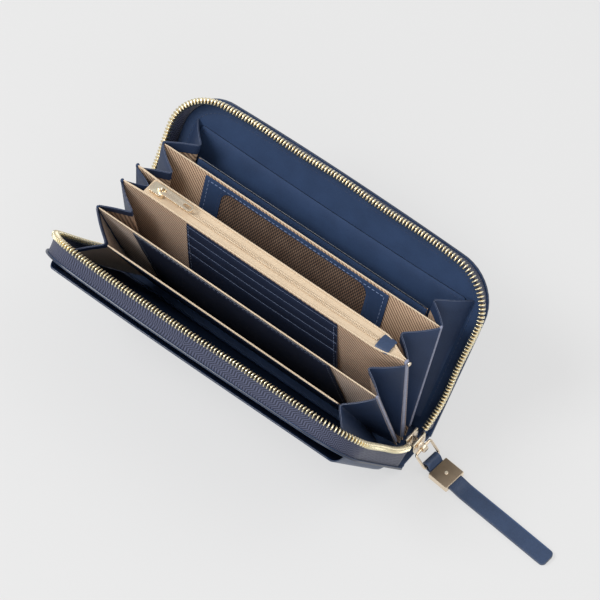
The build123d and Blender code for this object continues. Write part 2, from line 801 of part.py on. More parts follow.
clasp_plane = Plane(origin=(bail_far.X, 0, 0), x_dir=strap_x, z_dir=(0, 0, 1))
clasp_middle_x = clasp_start + clasp_gap + clasp_length / 2
with BuildPart() as clasp:
    with BuildSketch(clasp_plane):
        with Locations((clasp_middle_x, 0)):
            Rectangle(clasp_length, clasp_width)
    extrude(amount=clasp_height)
    fillet(clasp.edges().filter_by(Axis.Z), clasp_edge)
    with BuildSketch(Plane(origin=clasp_plane.origin, x_dir=strap_y, z_dir=strap_x)):
        with Locations((0, clasp_mid_z)):
            Rectangle(strap_width + 2 * clasp_fit, strap_thickness + 2 * clasp_fit)
    extrude(amount=clasp_start + 2 * clasp_length, mode=Mode.SUBTRACT)
keep(clasp, "strap_clasp")

with BuildPart() as stud:
    with BuildSketch(clasp_plane.offset(clasp_height)):
        with Locations((clasp_middle_x, 0)):
            Circle(stud_radius)
    extrude(amount=stud_height)
    fillet(stud.edges().group_by(Axis.Z)[-1], stud_height * 0.6)
keep(stud, "clasp_stud")

strap_start = clasp_middle_x + clasp_gap
clasp_exit = clasp_start + clasp_gap + clasp_length
with BuildPart() as strap:
    with BuildSketch(side_plane):
        with BuildLine():
            Polyline(
                (strap_start, clasp_mid_z - tail_half),
                (clasp_exit + strap_lead, clasp_mid_z - tail_half),
                (clasp_exit + strap_lead + strap_rise, 0),
                (clasp_exit + strap_length, 0),
                (clasp_exit + strap_length, strap_thickness),
                (clasp_exit + strap_lead + strap_bend + strap_rise, strap_thickness),
                (clasp_exit + strap_lead + strap_bend, clasp_mid_z + tail_half),
                (strap_start, clasp_mid_z + tail_half),
                close=True,
            )
        make_face()
    extrude(amount=-strap_width)
    fillet(strap.edges().filter_by(Axis.Z).group_by(Axis.X)[-1], strap_end_radius)
keep(strap, "pull_strap")

print("pieces written:", count)
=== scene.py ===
"""Zip around wallet standing open on its spine: its visible pieces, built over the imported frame."""

from math import cos, pi, radians, sin, sqrt

import bmesh
import bpy
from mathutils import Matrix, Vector, noise


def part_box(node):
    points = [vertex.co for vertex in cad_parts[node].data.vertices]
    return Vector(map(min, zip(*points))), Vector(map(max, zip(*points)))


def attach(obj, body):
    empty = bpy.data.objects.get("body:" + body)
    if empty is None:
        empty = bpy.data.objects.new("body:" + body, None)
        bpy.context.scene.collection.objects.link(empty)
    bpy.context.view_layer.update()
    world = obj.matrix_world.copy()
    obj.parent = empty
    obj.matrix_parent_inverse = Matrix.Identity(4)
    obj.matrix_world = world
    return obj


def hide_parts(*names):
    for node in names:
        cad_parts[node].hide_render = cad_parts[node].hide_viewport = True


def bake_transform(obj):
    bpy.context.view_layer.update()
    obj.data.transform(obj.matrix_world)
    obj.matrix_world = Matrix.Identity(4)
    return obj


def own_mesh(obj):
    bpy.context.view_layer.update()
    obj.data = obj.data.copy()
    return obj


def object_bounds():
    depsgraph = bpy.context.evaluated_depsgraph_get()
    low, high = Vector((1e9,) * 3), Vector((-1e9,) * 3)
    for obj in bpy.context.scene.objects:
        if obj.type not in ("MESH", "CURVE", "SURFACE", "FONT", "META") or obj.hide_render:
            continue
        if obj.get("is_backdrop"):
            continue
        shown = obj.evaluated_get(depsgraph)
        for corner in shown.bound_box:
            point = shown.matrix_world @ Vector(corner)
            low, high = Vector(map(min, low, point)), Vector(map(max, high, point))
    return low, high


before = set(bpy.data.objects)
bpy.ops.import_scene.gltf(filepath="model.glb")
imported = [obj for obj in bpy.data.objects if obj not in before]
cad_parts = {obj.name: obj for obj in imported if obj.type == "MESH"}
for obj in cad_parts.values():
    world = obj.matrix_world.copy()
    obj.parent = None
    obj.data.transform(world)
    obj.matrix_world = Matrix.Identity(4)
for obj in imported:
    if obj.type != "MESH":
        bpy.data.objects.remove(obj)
cad_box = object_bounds()
MM = 0.001
ENDS = ((-1, "left"), (1, "right"))
TOWARD = {"front": -1, "back": 1, "rear": 1}

# Sizes in mm, as the CAD has them. A leaf has a lean in degrees from upright and a fold line (y, z).
LEAVES = {
    "front_cover": (-32.2, -11.5, 1.4),
    "back_cover": (33.3, 11.5, 1.4),
    "front_divider": (-23.4, -5.4, 3.0),
    "back_divider": (25.7, 5.4, 3.0),
    "front_wall": (-15.2, -3.4, 3.0),
    "rear_wall": (17.5, 3.4, 3.0),
}
COVER_HALF, COVER_WIDTH, CORNER, BOW = 100.0, 102.4, 26.0, 1.6
LINING_INSET, PANEL_FOOT = 2.4, 7.0
SLOT_TOPS, SLOT_HALF, SLOT_STEP = (88.0, 80.0, 72.0), 88.0, 0.4
BACK_POCKET_HALF, BACK_POCKET_TOP = 87.0, 81.5
POCKET_HALF, POCKET_TOP, POCKET_FOOT, POCKET_CORNER, POCKET_GAP = 94.0, 84.0, 4.0, 5.0, 5.0
SPINE_TOP, SPINE_HALF, SPINE_LENGTH_HALF = 1.2, 10.1, 98.8
SPINE_LINING_HALF, SPINE_LINING_LENGTH_HALF = 8.8, 92.0

WALL_HALF, WALL_HEIGHT = 90.0, 81.4
FRONT_PANEL, REAR_PANEL, PANEL_TOP = (-67.0, 61.0), (-61.0, 58.5), 79.8
WINDOW, WINDOW_FOOT, WINDOW_TOP, WINDOW_CORNER = (-49.0, 46.0), 24.0, 76.5, 6.0
DIVIDER_HALF, DIVIDER_HEIGHTS = 75.0, {"front_divider": 77.0, "back_divider": 75.0}
GUSSET_FOOT, COVER_GUSSET_TOP, COVER_GUSSET_X, VALLEY_DROP = 9.0, 83.0, 90.8, 3.0
GUSSET_GAP, GUSSET_THICKNESS = 0.35, 0.45

TAPE_INSET, TAPE_FOOT = 1.5, 6.0
TAPE_ROOT, TAPE_END, TOOTH_PITCH = -0.2, 8.1, 1.95

COIN_TOP, COIN_FOOT, COIN_FOOT_HALF, COIN_FOOT_SHARE = 84.0, 2.6, 1.2, 0.03
COIN_LONG = {"front": -4.3, "rear": 5.8}
COIN_LEFT = {"front": -5.1, "rear": 6.6}
COIN_RIGHT, COIN_RIGHT_GAP = -0.6, 0.55
COIN_BEND, COIN_HALF_THICKNESS = 72.0, 0.3
CARD_ENDS, CARD_FOOT, CARD_TOPS = (-48, 50), 14.0, (78.0, 70.0, 62.0, 54.0)
END_FOLD_DEPTH = 12

CHAIN_X, SLIDER_HALF_GAP, SLIDER_PLATE, LUG_REACH, LUG_HEIGHT = 98.5, 1.7, 1.4, 2.2, 11.75
BAIL_LENGTH, BAIL_DROP = 9.5, 50.0
LOOP_INNER, LOOP_OUTER, LOOP_NECK = 1.55, 2.55, 1.0
CLASP_GAP, CLASP_LENGTH = 0.1, 12.6
STRAP_YAW, STRAP_LENGTH, STRAP_HALF, STRAP_ROUND = -5.3, 64.0, 4.7, 2.6


# ---------------------------------------------------------------- materials
class Paint:
    """A material under construction: its nodes, its shader and a few shorthands."""

    def __init__(self, name, color, rough, metal=0.0, coat=0.0, sheen=0.0, lean=0.0):
        self.mat = bpy.data.materials.new(name)
        self.mat.use_nodes = True
        self.nodes = self.mat.node_tree.nodes
        self.links = self.mat.node_tree.links
        self.bsdf = self.nodes["Principled BSDF"]
        self.bsdf.inputs["Base Color"].default_value = (*color, 1)
        self.bsdf.inputs["Roughness"].default_value = rough
        self.bsdf.inputs["Metallic"].default_value = metal
        self.bsdf.inputs["Coat Weight"].default_value = coat
        self.bsdf.inputs["Coat Roughness"].default_value = 0.25
        self.bsdf.inputs["Sheen Weight"].default_value = sheen
        self.bsdf.inputs["Sheen Roughness"].default_value = 0.4
        self.coord = self.node("ShaderNodeTexCoord").outputs["Object"]
        turn = self.node("ShaderNodeMapping")
        turn.inputs["Rotation"].default_value = (radians(lean), 0, 0)
        self.link(self.coord, turn.inputs["Vector"])
        self.flat = turn.outputs["Vector"]

    def node(self, kind, **settings):
        node = self.nodes.new(kind)
        for key, value in settings.items():
            setattr(node, key, value)
        return node

    def link(self, source, target):
        self.links.new(source, target)
        return target

    def math(self, operation, a, b=0.0, c=0.0):
        node = self.node("ShaderNodeMath", operation=operation)
        for socket, value in zip(node.inputs, (a, b, c)):
            if isinstance(value, (int, float)):
                socket.default_value = value
            else:
                self.link(value, socket)
        return node.outputs[0]

    def folded(self):
        """The place with both ends of the wallet alike, so that a weave runs evenly round the rim."""
        split = self.node("ShaderNodeSeparateXYZ")
        self.link(self.coord, split.inputs[0])
        joined = self.node("ShaderNodeCombineXYZ")
        self.link(self.math("ABSOLUTE", split.outputs["X"]), joined.inputs["X"])
        self.link(split.outputs["Y"], joined.inputs["Y"])
        self.link(split.outputs["Z"], joined.inputs["Z"])
        return joined.outputs[0]

    def wave(self, direction, period, space=None):
        """A sine of 0 to 1 along a direction of the leaf's plane, period in mm."""
        node = self.node("ShaderNodeVectorMath", operation="DOT_PRODUCT")
        scale = 2 * pi / (period * MM)
        self.link(space or self.flat, node.inputs[0])
        node.inputs[1].default_value = Vector(direction).normalized() * scale
        return self.math("MULTIPLY_ADD", self.math("SINE", node.outputs["Value"]), 0.5, 0.5)

    def noise(self, size, detail=3.0, space=None):
        """Noise whose features are about size mm across."""
        node = self.node("ShaderNodeTexNoise")
        node.inputs["Scale"].default_value = 1 / (size * MM)
        node.inputs["Detail"].default_value = detail
        node.inputs["Roughness"].default_value = 0.55
        self.link(space or self.coord, node.inputs["Vector"])
        return node.outputs["Fac"]

    def cells(self, size):
        """Rounded cells about size mm across."""
        node = self.node("ShaderNodeTexVoronoi", feature="F1")
        node.inputs["Scale"].default_value = 1 / (size * MM)
        self.link(self.coord, node.inputs["Vector"])
        return node.outputs["Distance"]

    def ramp(self, value, *stops):
        """Colours by value; each stop is (position, colour)."""
        node = self.node("ShaderNodeValToRGB")
        ramp = node.color_ramp
        while len(ramp.elements) < len(stops):
            ramp.elements.new(0.5)
        for element, (position, color) in zip(ramp.elements, stops):
            element.position = position
            element.color = (*color, 1) if len(color) == 3 else color
        self.link(value, node.inputs["Fac"])
        return node.outputs["Color"]

    def mix(self, factor, a, b, blend="MIX"):
        node = self.node("ShaderNodeMix", data_type="RGBA", blend_type=blend)
        for index, value in ((0, factor), (6, a), (7, b)):
            if isinstance(value, (int, float)):
                node.inputs[index].default_value = value
            elif isinstance(value, tuple):
                node.inputs[index].default_value = (*value, 1)
            else:
                self.link(value, node.inputs[index])
        return node.outputs[2]

    def color(self, source):
        self.link(source, self.bsdf.inputs["Base Color"])

    def rough(self, value, low, high):
        node = self.node("ShaderNodeMapRange")
        node.inputs["To Min"].default_value = low
        node.inputs["To Max"].default_value = high
        self.link(value, node.inputs["Value"])
        self.link(node.outputs["Result"], self.bsdf.inputs["Roughness"])

    def bump(self, height, depth):
        """Bump of depth mm."""
        node = self.node("ShaderNodeBump")
        node.inputs["Strength"].default_value = 1.0
        node.inputs["Distance"].default_value = depth * MM
        self.link(height, node.inputs["Height"])
        self.link(node.outputs["Normal"], self.bsdf.inputs["Normal"])

    def edge_wear_and_highlight(self, base, light, low=0.52, high=0.6):
        """Base colour that lightens along sharp edges: a painted edge highlight, partly edge wear."""
        edge = self.node("ShaderNodeNewGeometry").outputs["Pointiness"]
        fade = self.node("ShaderNodeMapRange")
        fade.inputs["From Min"].default_value = low
        fade.inputs["From Max"].default_value = high
        self.link(edge, fade.inputs["Value"])
        return self.mix(fade.outputs["Result"], base, light)


def tint(color, factor):
    return tuple(min(1.0, c * factor) for c in color)


# light is how much lighter the edges are painted: a painted edge highlight, partly edge wear
def leather(name, color, grain=0.55, rough=0.42, light=1.9, depth=0.05, coat=0.08, gloss=0.4):
    paint = Paint(name, color, rough, coat=coat)
    paint.bsdf.inputs["Specular IOR Level"].default_value = gloss
    pebbles = paint.cells(grain)
    fine = paint.noise(grain * 0.6, 4.0)
    height = paint.math("MULTIPLY_ADD", fine, 0.6, paint.math("MULTIPLY", pebbles, 0.8))
    patches = paint.noise(14.0, 3.0)
    base = paint.ramp(patches, (0.3, tint(color, 0.82)), (0.7, tint(color, 1.18)))
    base = paint.mix(0.35, base, paint.ramp(height, (0.2, tint(color, 0.6)), (0.8, tint(color, 1.35))))
    # edges lightened by the factor light: painted edge highlight, partly edge wear
    paint.color(paint.edge_wear_and_highlight(base, tint(color, light)))
    paint.rough(fine, rough - 0.08, rough + 0.12)
    paint.bump(height, depth)
    return paint.mat


def twill(name, dark, light, lean, period=1.45, slant=1.0):
    paint = Paint(name, light, 0.85, sheen=0.25, lean=lean)
    ribs = paint.wave((1, 0, slant), period)
    cross = paint.wave((1, 0, -slant * 2.2), period * 0.62)
    threads = paint.math("MULTIPLY_ADD", cross, 0.22, paint.math("MULTIPLY", ribs, 0.78))
    fuzz = paint.noise(0.7, 4.0)
    height = paint.math("MULTIPLY_ADD", fuzz, 0.2, threads)
    base = paint.ramp(height, (0.28, dark), (0.85, light))
    patches = paint.noise(22.0, 2.0)
    base = paint.mix(0.12, base, paint.ramp(patches, (0.35, dark), (0.7, light)))
    paint.color(base)
    paint.rough(fuzz, 0.75, 0.95)
    paint.bump(height, 0.12)
    return paint.mat


def herringbone(name, dark, light):
    paint = Paint(name, light, 0.8, sheen=0.3)
    rim_place = paint.folded()
    rise = paint.wave((1, 1, -1), 0.95, rim_place)
    fall = paint.wave((1, -1, -1), 0.95, rim_place)
    bands = paint.math("GREATER_THAN", paint.wave((0, 1, 0), 3.2), 0.5)
    stripes = paint.node("ShaderNodeMix", data_type="FLOAT")
    paint.link(bands, stripes.inputs[0])
    paint.link(rise, stripes.inputs[2])
    paint.link(fall, stripes.inputs[3])
    fuzz = paint.noise(0.5, 3.0)
    height = paint.math("MULTIPLY_ADD", fuzz, 0.4, stripes.outputs[0])
    paint.color(paint.ramp(height, (0.3, dark), (1.0, light)))
    paint.rough(fuzz, 0.7, 0.9)
    paint.bump(height, 0.12)
    return paint.mat


def open_mesh(name, lean):
    paint = Paint(name, (0.16, 0.1, 0.07), 0.7, sheen=0.2, lean=lean)
    warp = paint.wave((1, 0, 0.6), 1.4)
    weft = paint.wave((1, 0, -0.6), 1.4)
    height = paint.math("MAXIMUM", warp, weft)
    dots = paint.math("MULTIPLY", warp, weft)
    base = paint.ramp(height, (0.55, (0.006, 0.006, 0.01)), (0.85, (0.13, 0.08, 0.05)))
    base = paint.mix(dots, base, (0.34, 0.23, 0.16))
    paint.color(paint.mix(paint.noise(9.0), base, (0.1, 0.065, 0.045), "SOFT_LIGHT"))
    paint.rough(height, 0.6, 0.85)
    paint.bump(height, 0.2)
    return paint.mat


def thread(name, color):
    paint = Paint(name, color, 0.6, sheen=0.2)
    twist = paint.noise(0.25, 2.0)
    paint.color(paint.ramp(twist, (0.3, tint(color, 0.7)), (0.7, tint(color, 1.25))))
    paint.rough(twist, 0.5, 0.75)
    paint.bump(twist, 0.04)
    return paint.mat


def gold(name, color, rough=0.22, brushed=False):
    paint = Paint(name, color, rough, metal=1.0)
    smear = paint.noise(6.0, 4.0)
    if brushed:
        lines = paint.node("ShaderNodeMapping")
        lines.inputs["Scale"].default_value = (0.06, 1, 1)
        paint.link(paint.coord, lines.inputs["Vector"])
        scratches = paint.noise(0.22, 3.0, space=lines.outputs["Vector"])
    else:
        scratches = paint.noise(0.6, 4.0)
    base = paint.ramp(smear, (0.3, tint(color, 0.88)), (0.75, tint(color, 1.06)))
    # the gold lightens along sharp edges: a painted highlight, partly edge wear
    paint.color(paint.edge_wear_and_highlight(base, tint(color, 1.15), 0.53, 0.62))
    paint.rough(scratches, rough - 0.08, rough + 0.14)
    paint.bump(scratches, 0.012 if brushed else 0.006)
    return paint.mat


def edge_paint(name, color, rough=0.35):
    paint = Paint(name, color, rough, coat=0.3)
    uneven = paint.noise(1.6, 3.0)
    paint.color(paint.ramp(uneven, (0.3, tint(color, 0.85)), (0.7, tint(color, 1.15))))
    paint.rough(uneven, rough - 0.1, rough + 0.1)
    paint.bump(uneven, 0.03)
    return paint.mat


NAVY = (0.022, 0.043, 0.098)
navy = leather("navy grained leather", NAVY, 0.8, 0.4, depth=0.09)
navy_soft = leather("navy lining leather", (0.024, 0.047, 0.108), 0.4, 0.55, depth=0.03, coat=0.0, gloss=0.22)
navy_gusset = leather(
    "navy gusset leather", (0.02, 0.036, 0.082), 0.45, 0.5, light=1.5, depth=0.03, coat=0.0, gloss=0.3
)
strap_leather = leather("navy strap leather", (0.028, 0.05, 0.105), 0.6, 0.36, depth=0.08)
navy_card = leather("dark card leather", (0.012, 0.02, 0.046), 0.4, 0.6, depth=0.03, coat=0.0, gloss=0.2)
dark_edge = edge_paint("dark edge paint", (0.012, 0.018, 0.035))
# these two edge colours are lighter than the leather: partly the edges' own lighter tone, partly painted
# highlight
slot_rim_tone_and_highlight = edge_paint("light folded edge and highlight", (0.16, 0.2, 0.31), 0.45)
slot_roll_tone_and_highlight = edge_paint("slot turned edge and highlight", (0.24, 0.27, 0.36), 0.4)
# pale lavender for the gusset rims and the right-hand bindings: painted highlight on navy leather
gusset_edge_highlight = edge_paint("lavender gusset edge highlight", (0.1, 0.125, 0.2), 0.4)
binding_highlight = edge_paint("lavender binding highlight", (0.23, 0.25, 0.35), 0.4)
BEIGE_DARK, BEIGE_LIGHT = (0.15, 0.09, 0.055), (0.66, 0.46, 0.31)
twills = {
    leaf: twill("beige twill " + leaf, BEIGE_DARK, BEIGE_LIGHT, LEAVES[leaf][0], 1.6) for leaf in LEAVES
}
twills["front_wall"] = twill("beige twill steep", BEIGE_DARK, BEIGE_LIGHT, LEAVES["front_wall"][0], 2.1, 0.08)
twill_coin = twill("beige twill coin pocket", BEIGE_DARK, BEIGE_LIGHT, 0.0, 2.0, 1.0)
cream = twill("cream woven edge", (0.55, 0.41, 0.27), (0.83, 0.68, 0.5), 0.0, 0.7)
cream_tape = twill("cream zip tape", (0.56, 0.42, 0.28), (0.8, 0.65, 0.47), 90.0, 0.6, 0.15)
tape_weave = herringbone("navy zip tape", (0.012, 0.016, 0.036), (0.078, 0.088, 0.15))
mesh_weave = open_mesh("brown window mesh", LEAVES["rear_wall"][0])
blue_thread = thread("blue thread", (0.2, 0.27, 0.45))
navy_thread = thread("navy thread", (0.03, 0.05, 0.11))
gold_bright = gold("pale gold", (0.97, 0.81, 0.63), 0.22)
gold_teeth = gold("gold teeth", (0.97, 0.82, 0.58), 0.2)
gold_brushed = gold("brushed bronze", (0.36, 0.28, 0.2), 0.36, True)

# the material slot that each finish belongs to
finish_groups = {
    "navy_leather": [navy, strap_leather, dark_edge],
    "navy_panel_leather": [
        navy_soft, navy_gusset, navy_card, slot_rim_tone_and_highlight, slot_roll_tone_and_highlight, gusset_edge_highlight, binding_highlight, blue_thread,
        navy_thread,
    ],
    "beige_twill": [twill_coin, *twills.values()],
    "cream_tape": [cream, cream_tape],
    "mesh": [mesh_weave],
    "zip_tape": [tape_weave],
    "gold_metal": [gold_bright, gold_teeth],
}
SLOT_OF = {finish.name: slot for slot, finishes in finish_groups.items() for finish in finishes}


# ---------------------------------------------------------------- places
def leaf_at(leaf):
    """A leaf's place function: (x, up the leaf, depth towards the front) in mm to a point in mm."""
    lean, fold_y, fold_z = LEAVES[leaf]
    a = radians(lean)

    def place(x, up, depth=0.0):
        return Vector((x, fold_y + up * sin(a) - depth * cos(a), fold_z + up * cos(a) + depth * sin(a)))

    return place


def cover_at(side):
    """A cover's place function, with depth measured inwards from the cover's middle."""
    plain = leaf_at(side + "_cover")
    turn = TOWARD[side]

    def place(x, up, inward=0.0):
        soft = (up / COVER_WIDTH) ** 2
        slump = 0.8 * sin(x / 46.0 + turn) * soft
        return plain(x, up, turn * (inward + slump))

    return place


def rim(run, inset, start):
    """A point of the cover's outline drawn in by inset: x, up, and the outward direction. run is 0 to 1."""
    half, radius = COVER_HALF - inset, CORNER - inset
    shoulder = COVER_WIDTH - inset - BOW
    straight, arc, top_half = shoulder - radius - start, radius * pi / 2, half - radius
    whole = 2 * (straight + arc + top_half)
    mirror_x = 1 if run <= 0.5 else -1
    along = min(run, 1 - run) * whole
    if along < straight:
        return mirror_x * half, start + along, mirror_x, 0.0
    if along < straight + arc:
        turn = (along - straight) / radius
        out_x, out_up = mirror_x * cos(turn), sin(turn)
        return mirror_x * top_half + radius * out_x, shoulder - radius + radius * out_up, out_x, out_up
    x = top_half - (along - straight - arc)
    return mirror_x * x, shoulder + BOW * (1 - (x / top_half) ** 2), 0.0, 1.0


def rim_length(inset, start):
    radius = CORNER - inset
    return 2 * (COVER_WIDTH - inset - BOW - radius - start + radius * pi / 2 + COVER_HALF - inset - radius)


# ---------------------------------------------------------------- mesh helpers
def round_edges(work, angle, width, segments):
    """Rounds the edges that are sharper than angle degrees, width in mm."""
    sharp = [e for e in work.edges if len(e.link_faces) == 2 and e.calc_face_angle() > radians(angle)]
    bmesh.ops.bevel(
        work, geom=sharp, offset=width * MM, segments=segments, affect="EDGES", profile=0.5,
        clamp_overlap=True,
    )


def smooth_mesh(work, mesh, angle):
    """Writes work into the mesh, shaded smooth except at edges sharper than angle degrees."""
    for face in work.faces:
        face.smooth = True
    work.to_mesh(mesh)
    work.free()
    mesh.set_sharp_from_angle(angle=radians(angle))


def put(name, data):
    """A new object in the scene."""
    obj = bpy.data.objects.new(name, data)
    bpy.context.scene.collection.objects.link(obj)
    return obj


def add(name, points, faces, materials, body, nodes=(), indices=None, bevel=0.0, segments=2):
    """A closed mesh from points in mm, its sharp edges rounded by bevel, riding on a body."""
    mesh = bpy.data.meshes.new(name)
    mesh.from_pydata([tuple(p * MM) for p in points], [], faces)
    for material in materials:
        mesh.materials.append(material)
    if indices:
        mesh.polygons.foreach_set("material_index", indices)
    work = bmesh.new()
    work.from_mesh(mesh)
    bmesh.ops.remove_doubles(work, verts=work.verts, dist=1e-7)
    bmesh.ops.recalc_face_normals(work, faces=work.faces)
    if bevel > 0:
        round_edges(work, 38, bevel, segments)
    smooth_mesh(work, mesh, 50)
    return settle(put(name, mesh), body, nodes)


def settle(obj, body, nodes=()):
    """Puts a piece on its body, in place of its CAD nodes."""
    if body:
        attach(obj, body)
    if nodes:
        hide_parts(*nodes)
    return obj


def slab(name, near, far, materials, body, nodes=(), rim_index=0, **options):
    """A closed slab between two grids of points; its upper and end rims take rim_index."""
    columns, rows = len(near), len(near[0])
    points = [p for column in near for p in column] + [p for column in far for p in column]
    offset = columns * rows
    faces, indices = [], []

    def quad(a, b, c, d, index):
        faces.append((a, b, c, d))
        indices.append(index)

    for i in range(columns - 1):
        for j in range(rows - 1):
            a = i * rows + j
            quad(a, a + rows, a + rows + 1, a + 1, 0)
            quad(offset + a, offset + a + 1, offset + a + rows + 1, offset + a + rows, 0)
        low, high = i * rows, i * rows + rows - 1
        quad(low, offset + low, offset + low + rows, low + rows, 0)
        quad(high, high + rows, offset + high + rows, offset + high, rim_index)
    for j in range(rows - 1):
        last = (columns - 1) * rows + j
        quad(j, j + 1, offset + j + 1, offset + j, rim_index)
        quad(last, offset + last, offset + last + 1, last + 1, rim_index)
    return add(name, points, faces, materials, body, nodes, indices, **options)


def spread(low, high, count):
    """Evenly spaced values from low to high, both included."""
    return [low + (high - low) * i / (count - 1) for i in range(count)]


def around(sides):
    """The angles of a round section's corners."""
    return [2 * pi * k / sides for k in range(sides)]


def strand_faces(rings, sides, base=0):
    """The faces over rings of points that follow each other, with a cap at each end."""
    faces = []
    for ring in range(rings - 1):
        for k in range(sides):
            a, b = base + ring * sides + k, base + ring * sides + (k + 1) % sides
            faces.append((a, b, b + sides, a + sides))
    faces.append(tuple(base + k for k in reversed(range(sides))))
    faces.append(tuple(base + (rings - 1) * sides + k for k in range(sides)))
    return faces


def panel(name, place, x_range, up_range, depth, thick, body, nodes, materials, radius=0.0, sag=0.0, puff=0.0,
          bevel=0.12, columns=34, rows=9, ripple=0.0, **options):
    """A thin layer on a leaf: place(x, up, depth) puts it in space.

    Its top edge sags and its middle puffs out.
    """
    (left, right), (low, high) = x_range, up_range
    if radius > 0:
        turns = spread(0, pi / 2, 8)
        xs = [left + radius - radius * cos(pi / 2 - t) for t in reversed(turns)]
        xs = sorted(set(round(x, 5) for x in xs + spread(left + radius, right - radius, columns)))
        xs += sorted(set(round(right - radius + radius * sin(t), 5) for t in turns[1:]))
    else:
        xs = spread(left, right, columns)
    middle, half = (left + right) / 2, (right - left) / 2
    near, far = [], []
    for x in xs:
        share = (x - middle) / half
        corner = max(0.0, abs(x - middle) - (half - radius)) if radius > 0 else 0.0
        top = high - sag * (1 - share**2) - (radius - sqrt(max(0.0, radius**2 - corner**2)))
        ups = spread(low, top, rows)
        bulge = [
            puff * (1 - share**4) * sin(pi * min(1.0, (up - low) / (high - low)) * 0.62)
            + ripple * noise.noise(Vector((x / 30, up / 26, depth * 3 + len(name))))
            for up in ups
        ]
        near.append([place(x, up, depth + thick + b) for up, b in zip(ups, bulge)])
        far.append([place(x, up, depth + b) for up, b in zip(ups, bulge)])
    return slab(name, near, far, materials, body, nodes, bevel=bevel, **options)


def walk(corners, pitch, closed=False):
    """Points every pitch mm along a line through the corners, each with the next point's direction."""
    line = [Vector(c) for c in corners]
    if closed:
        line.append(line[0])
    marks, carry = [], pitch / 2
    for start, end in zip(line, line[1:]):
        length = (end - start).length
        if length < 1e-6:
            continue
        way = (end - start) / length
        while carry < length:
            marks.append((start + way * carry, way))
            carry += pitch
        carry -= length
    return marks


def stitches(name, place, corners, depth, body, material, pitch=2.7, length=1.75, width=0.42, closed=False):
    """A row of stitches along a line on a leaf: each is a small rounded grain that dips in at both ends."""
    points, faces = [], []
    for mark, way in walk(corners, pitch, closed):
        side = Vector((-way.y, way.x))
        base = len(points)
        for station, swell in ((-0.5, 0.35), (-0.3, 0.9), (0.3, 0.9), (0.5, 0.35)):
            for across, lift in ((-0.5, 0.0), (-0.32, 0.42), (0.32, 0.42), (0.5, 0.0)):
                spot = mark + way * station * length + side * across * width * swell
                rise = (lift * swell if abs(station) < 0.4 else lift * 0.3) * width
                points.append(place(spot.x, spot.y, depth + rise))
        for row in range(3):
            for k in range(3):
                a = base + row * 4 + k
                faces.append((a, a + 1, a + 5, a + 4))
            faces.append((base + row * 4, base + row * 4 + 4, base + row * 4 + 7, base + row * 4 + 3))
        faces.append((base + 3, base + 2, base + 1, base))
        faces.append((base + 12, base + 13, base + 14, base + 15))
    return add(name, points, faces, [material], body)


def tube(name, line, radius, body, material, sides=8):
    """A closed round strand through points in mm."""
    points = []
    for index, point in enumerate(line):
        ahead = line[min(index + 1, len(line) - 1)] - line[max(index - 1, 0)]
        ahead.normalize()
        across = ahead.cross(Vector((0, 0, 1)))
        if across.length < 1e-4:
            across = ahead.cross(Vector((0, 1, 0)))
        across.normalize()
        lift = across.cross(ahead)
        taper = 0.6 if index in (0, len(line) - 1) else 1.0
        points += [point + (across * cos(turn) + lift * sin(turn)) * radius * taper for turn in around(sides)]
    return add(name, points, strand_faces(len(line), sides), [material], body)


def refined(node, width, material, body, segments=2, extra=None):
    """A CAD metal piece with its edges rounded, in place of the plain one; extra goes on its top face."""
    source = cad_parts[node]
    work = bmesh.new()
    work.from_mesh(source.data)
    bmesh.ops.remove_doubles(work, verts=work.verts, dist=2e-6)
    bmesh.ops.dissolve_limit(work, angle_limit=radians(2), verts=work.verts, edges=work.edges)
    round_edges(work, 32, width, segments)
    mesh = bpy.data.meshes.new(node + "_shape")
    smooth_mesh(work, mesh, 45)
    mesh.materials.append(material)
    if extra:
        mesh.materials.append(extra)
        top = max(v.co.z for v in mesh.vertices)
        for face in mesh.polygons:
            if face.normal.z > 0.95 and face.center.z > top - 2e-4:
                face.material_index = 1
    return settle(put(node + "_shape", mesh), body, [node])


# ---------------------------------------------------------------- covers
def cover_columns(inset):
    """Column places across a cover's outline and the outline's top at each."""
    half, radius = COVER_HALF - inset, CORNER - inset
    shoulder, flat = COVER_WIDTH - inset - BOW, COVER_HALF - inset - radius
    columns = [(x, shoulder + BOW * (1 - (x / flat) ** 2)) for x in spread(-flat, flat, 40)]
    turns = spread(0, pi / 2, 12)[1:]
    right = [(flat + radius * sin(t), shoulder - radius + radius * cos(t)) for t in turns]
    return [(-x, top) for x, top in reversed(right)] + columns + right


def cover_layer(name, side, inset, start, low, high, nodes, materials, **options):
    """A layer of a cover between two depths, with the cover's outline drawn in by inset."""
    place = cover_at(side)
    near, far = (
        [[place(x, up, depth) for up in spread(start, top, 16)] for x, top in cover_columns(inset)]
        for depth in (high, low)
    )
    return slab(name, near, far, materials, side + "_cover", nodes, **options)


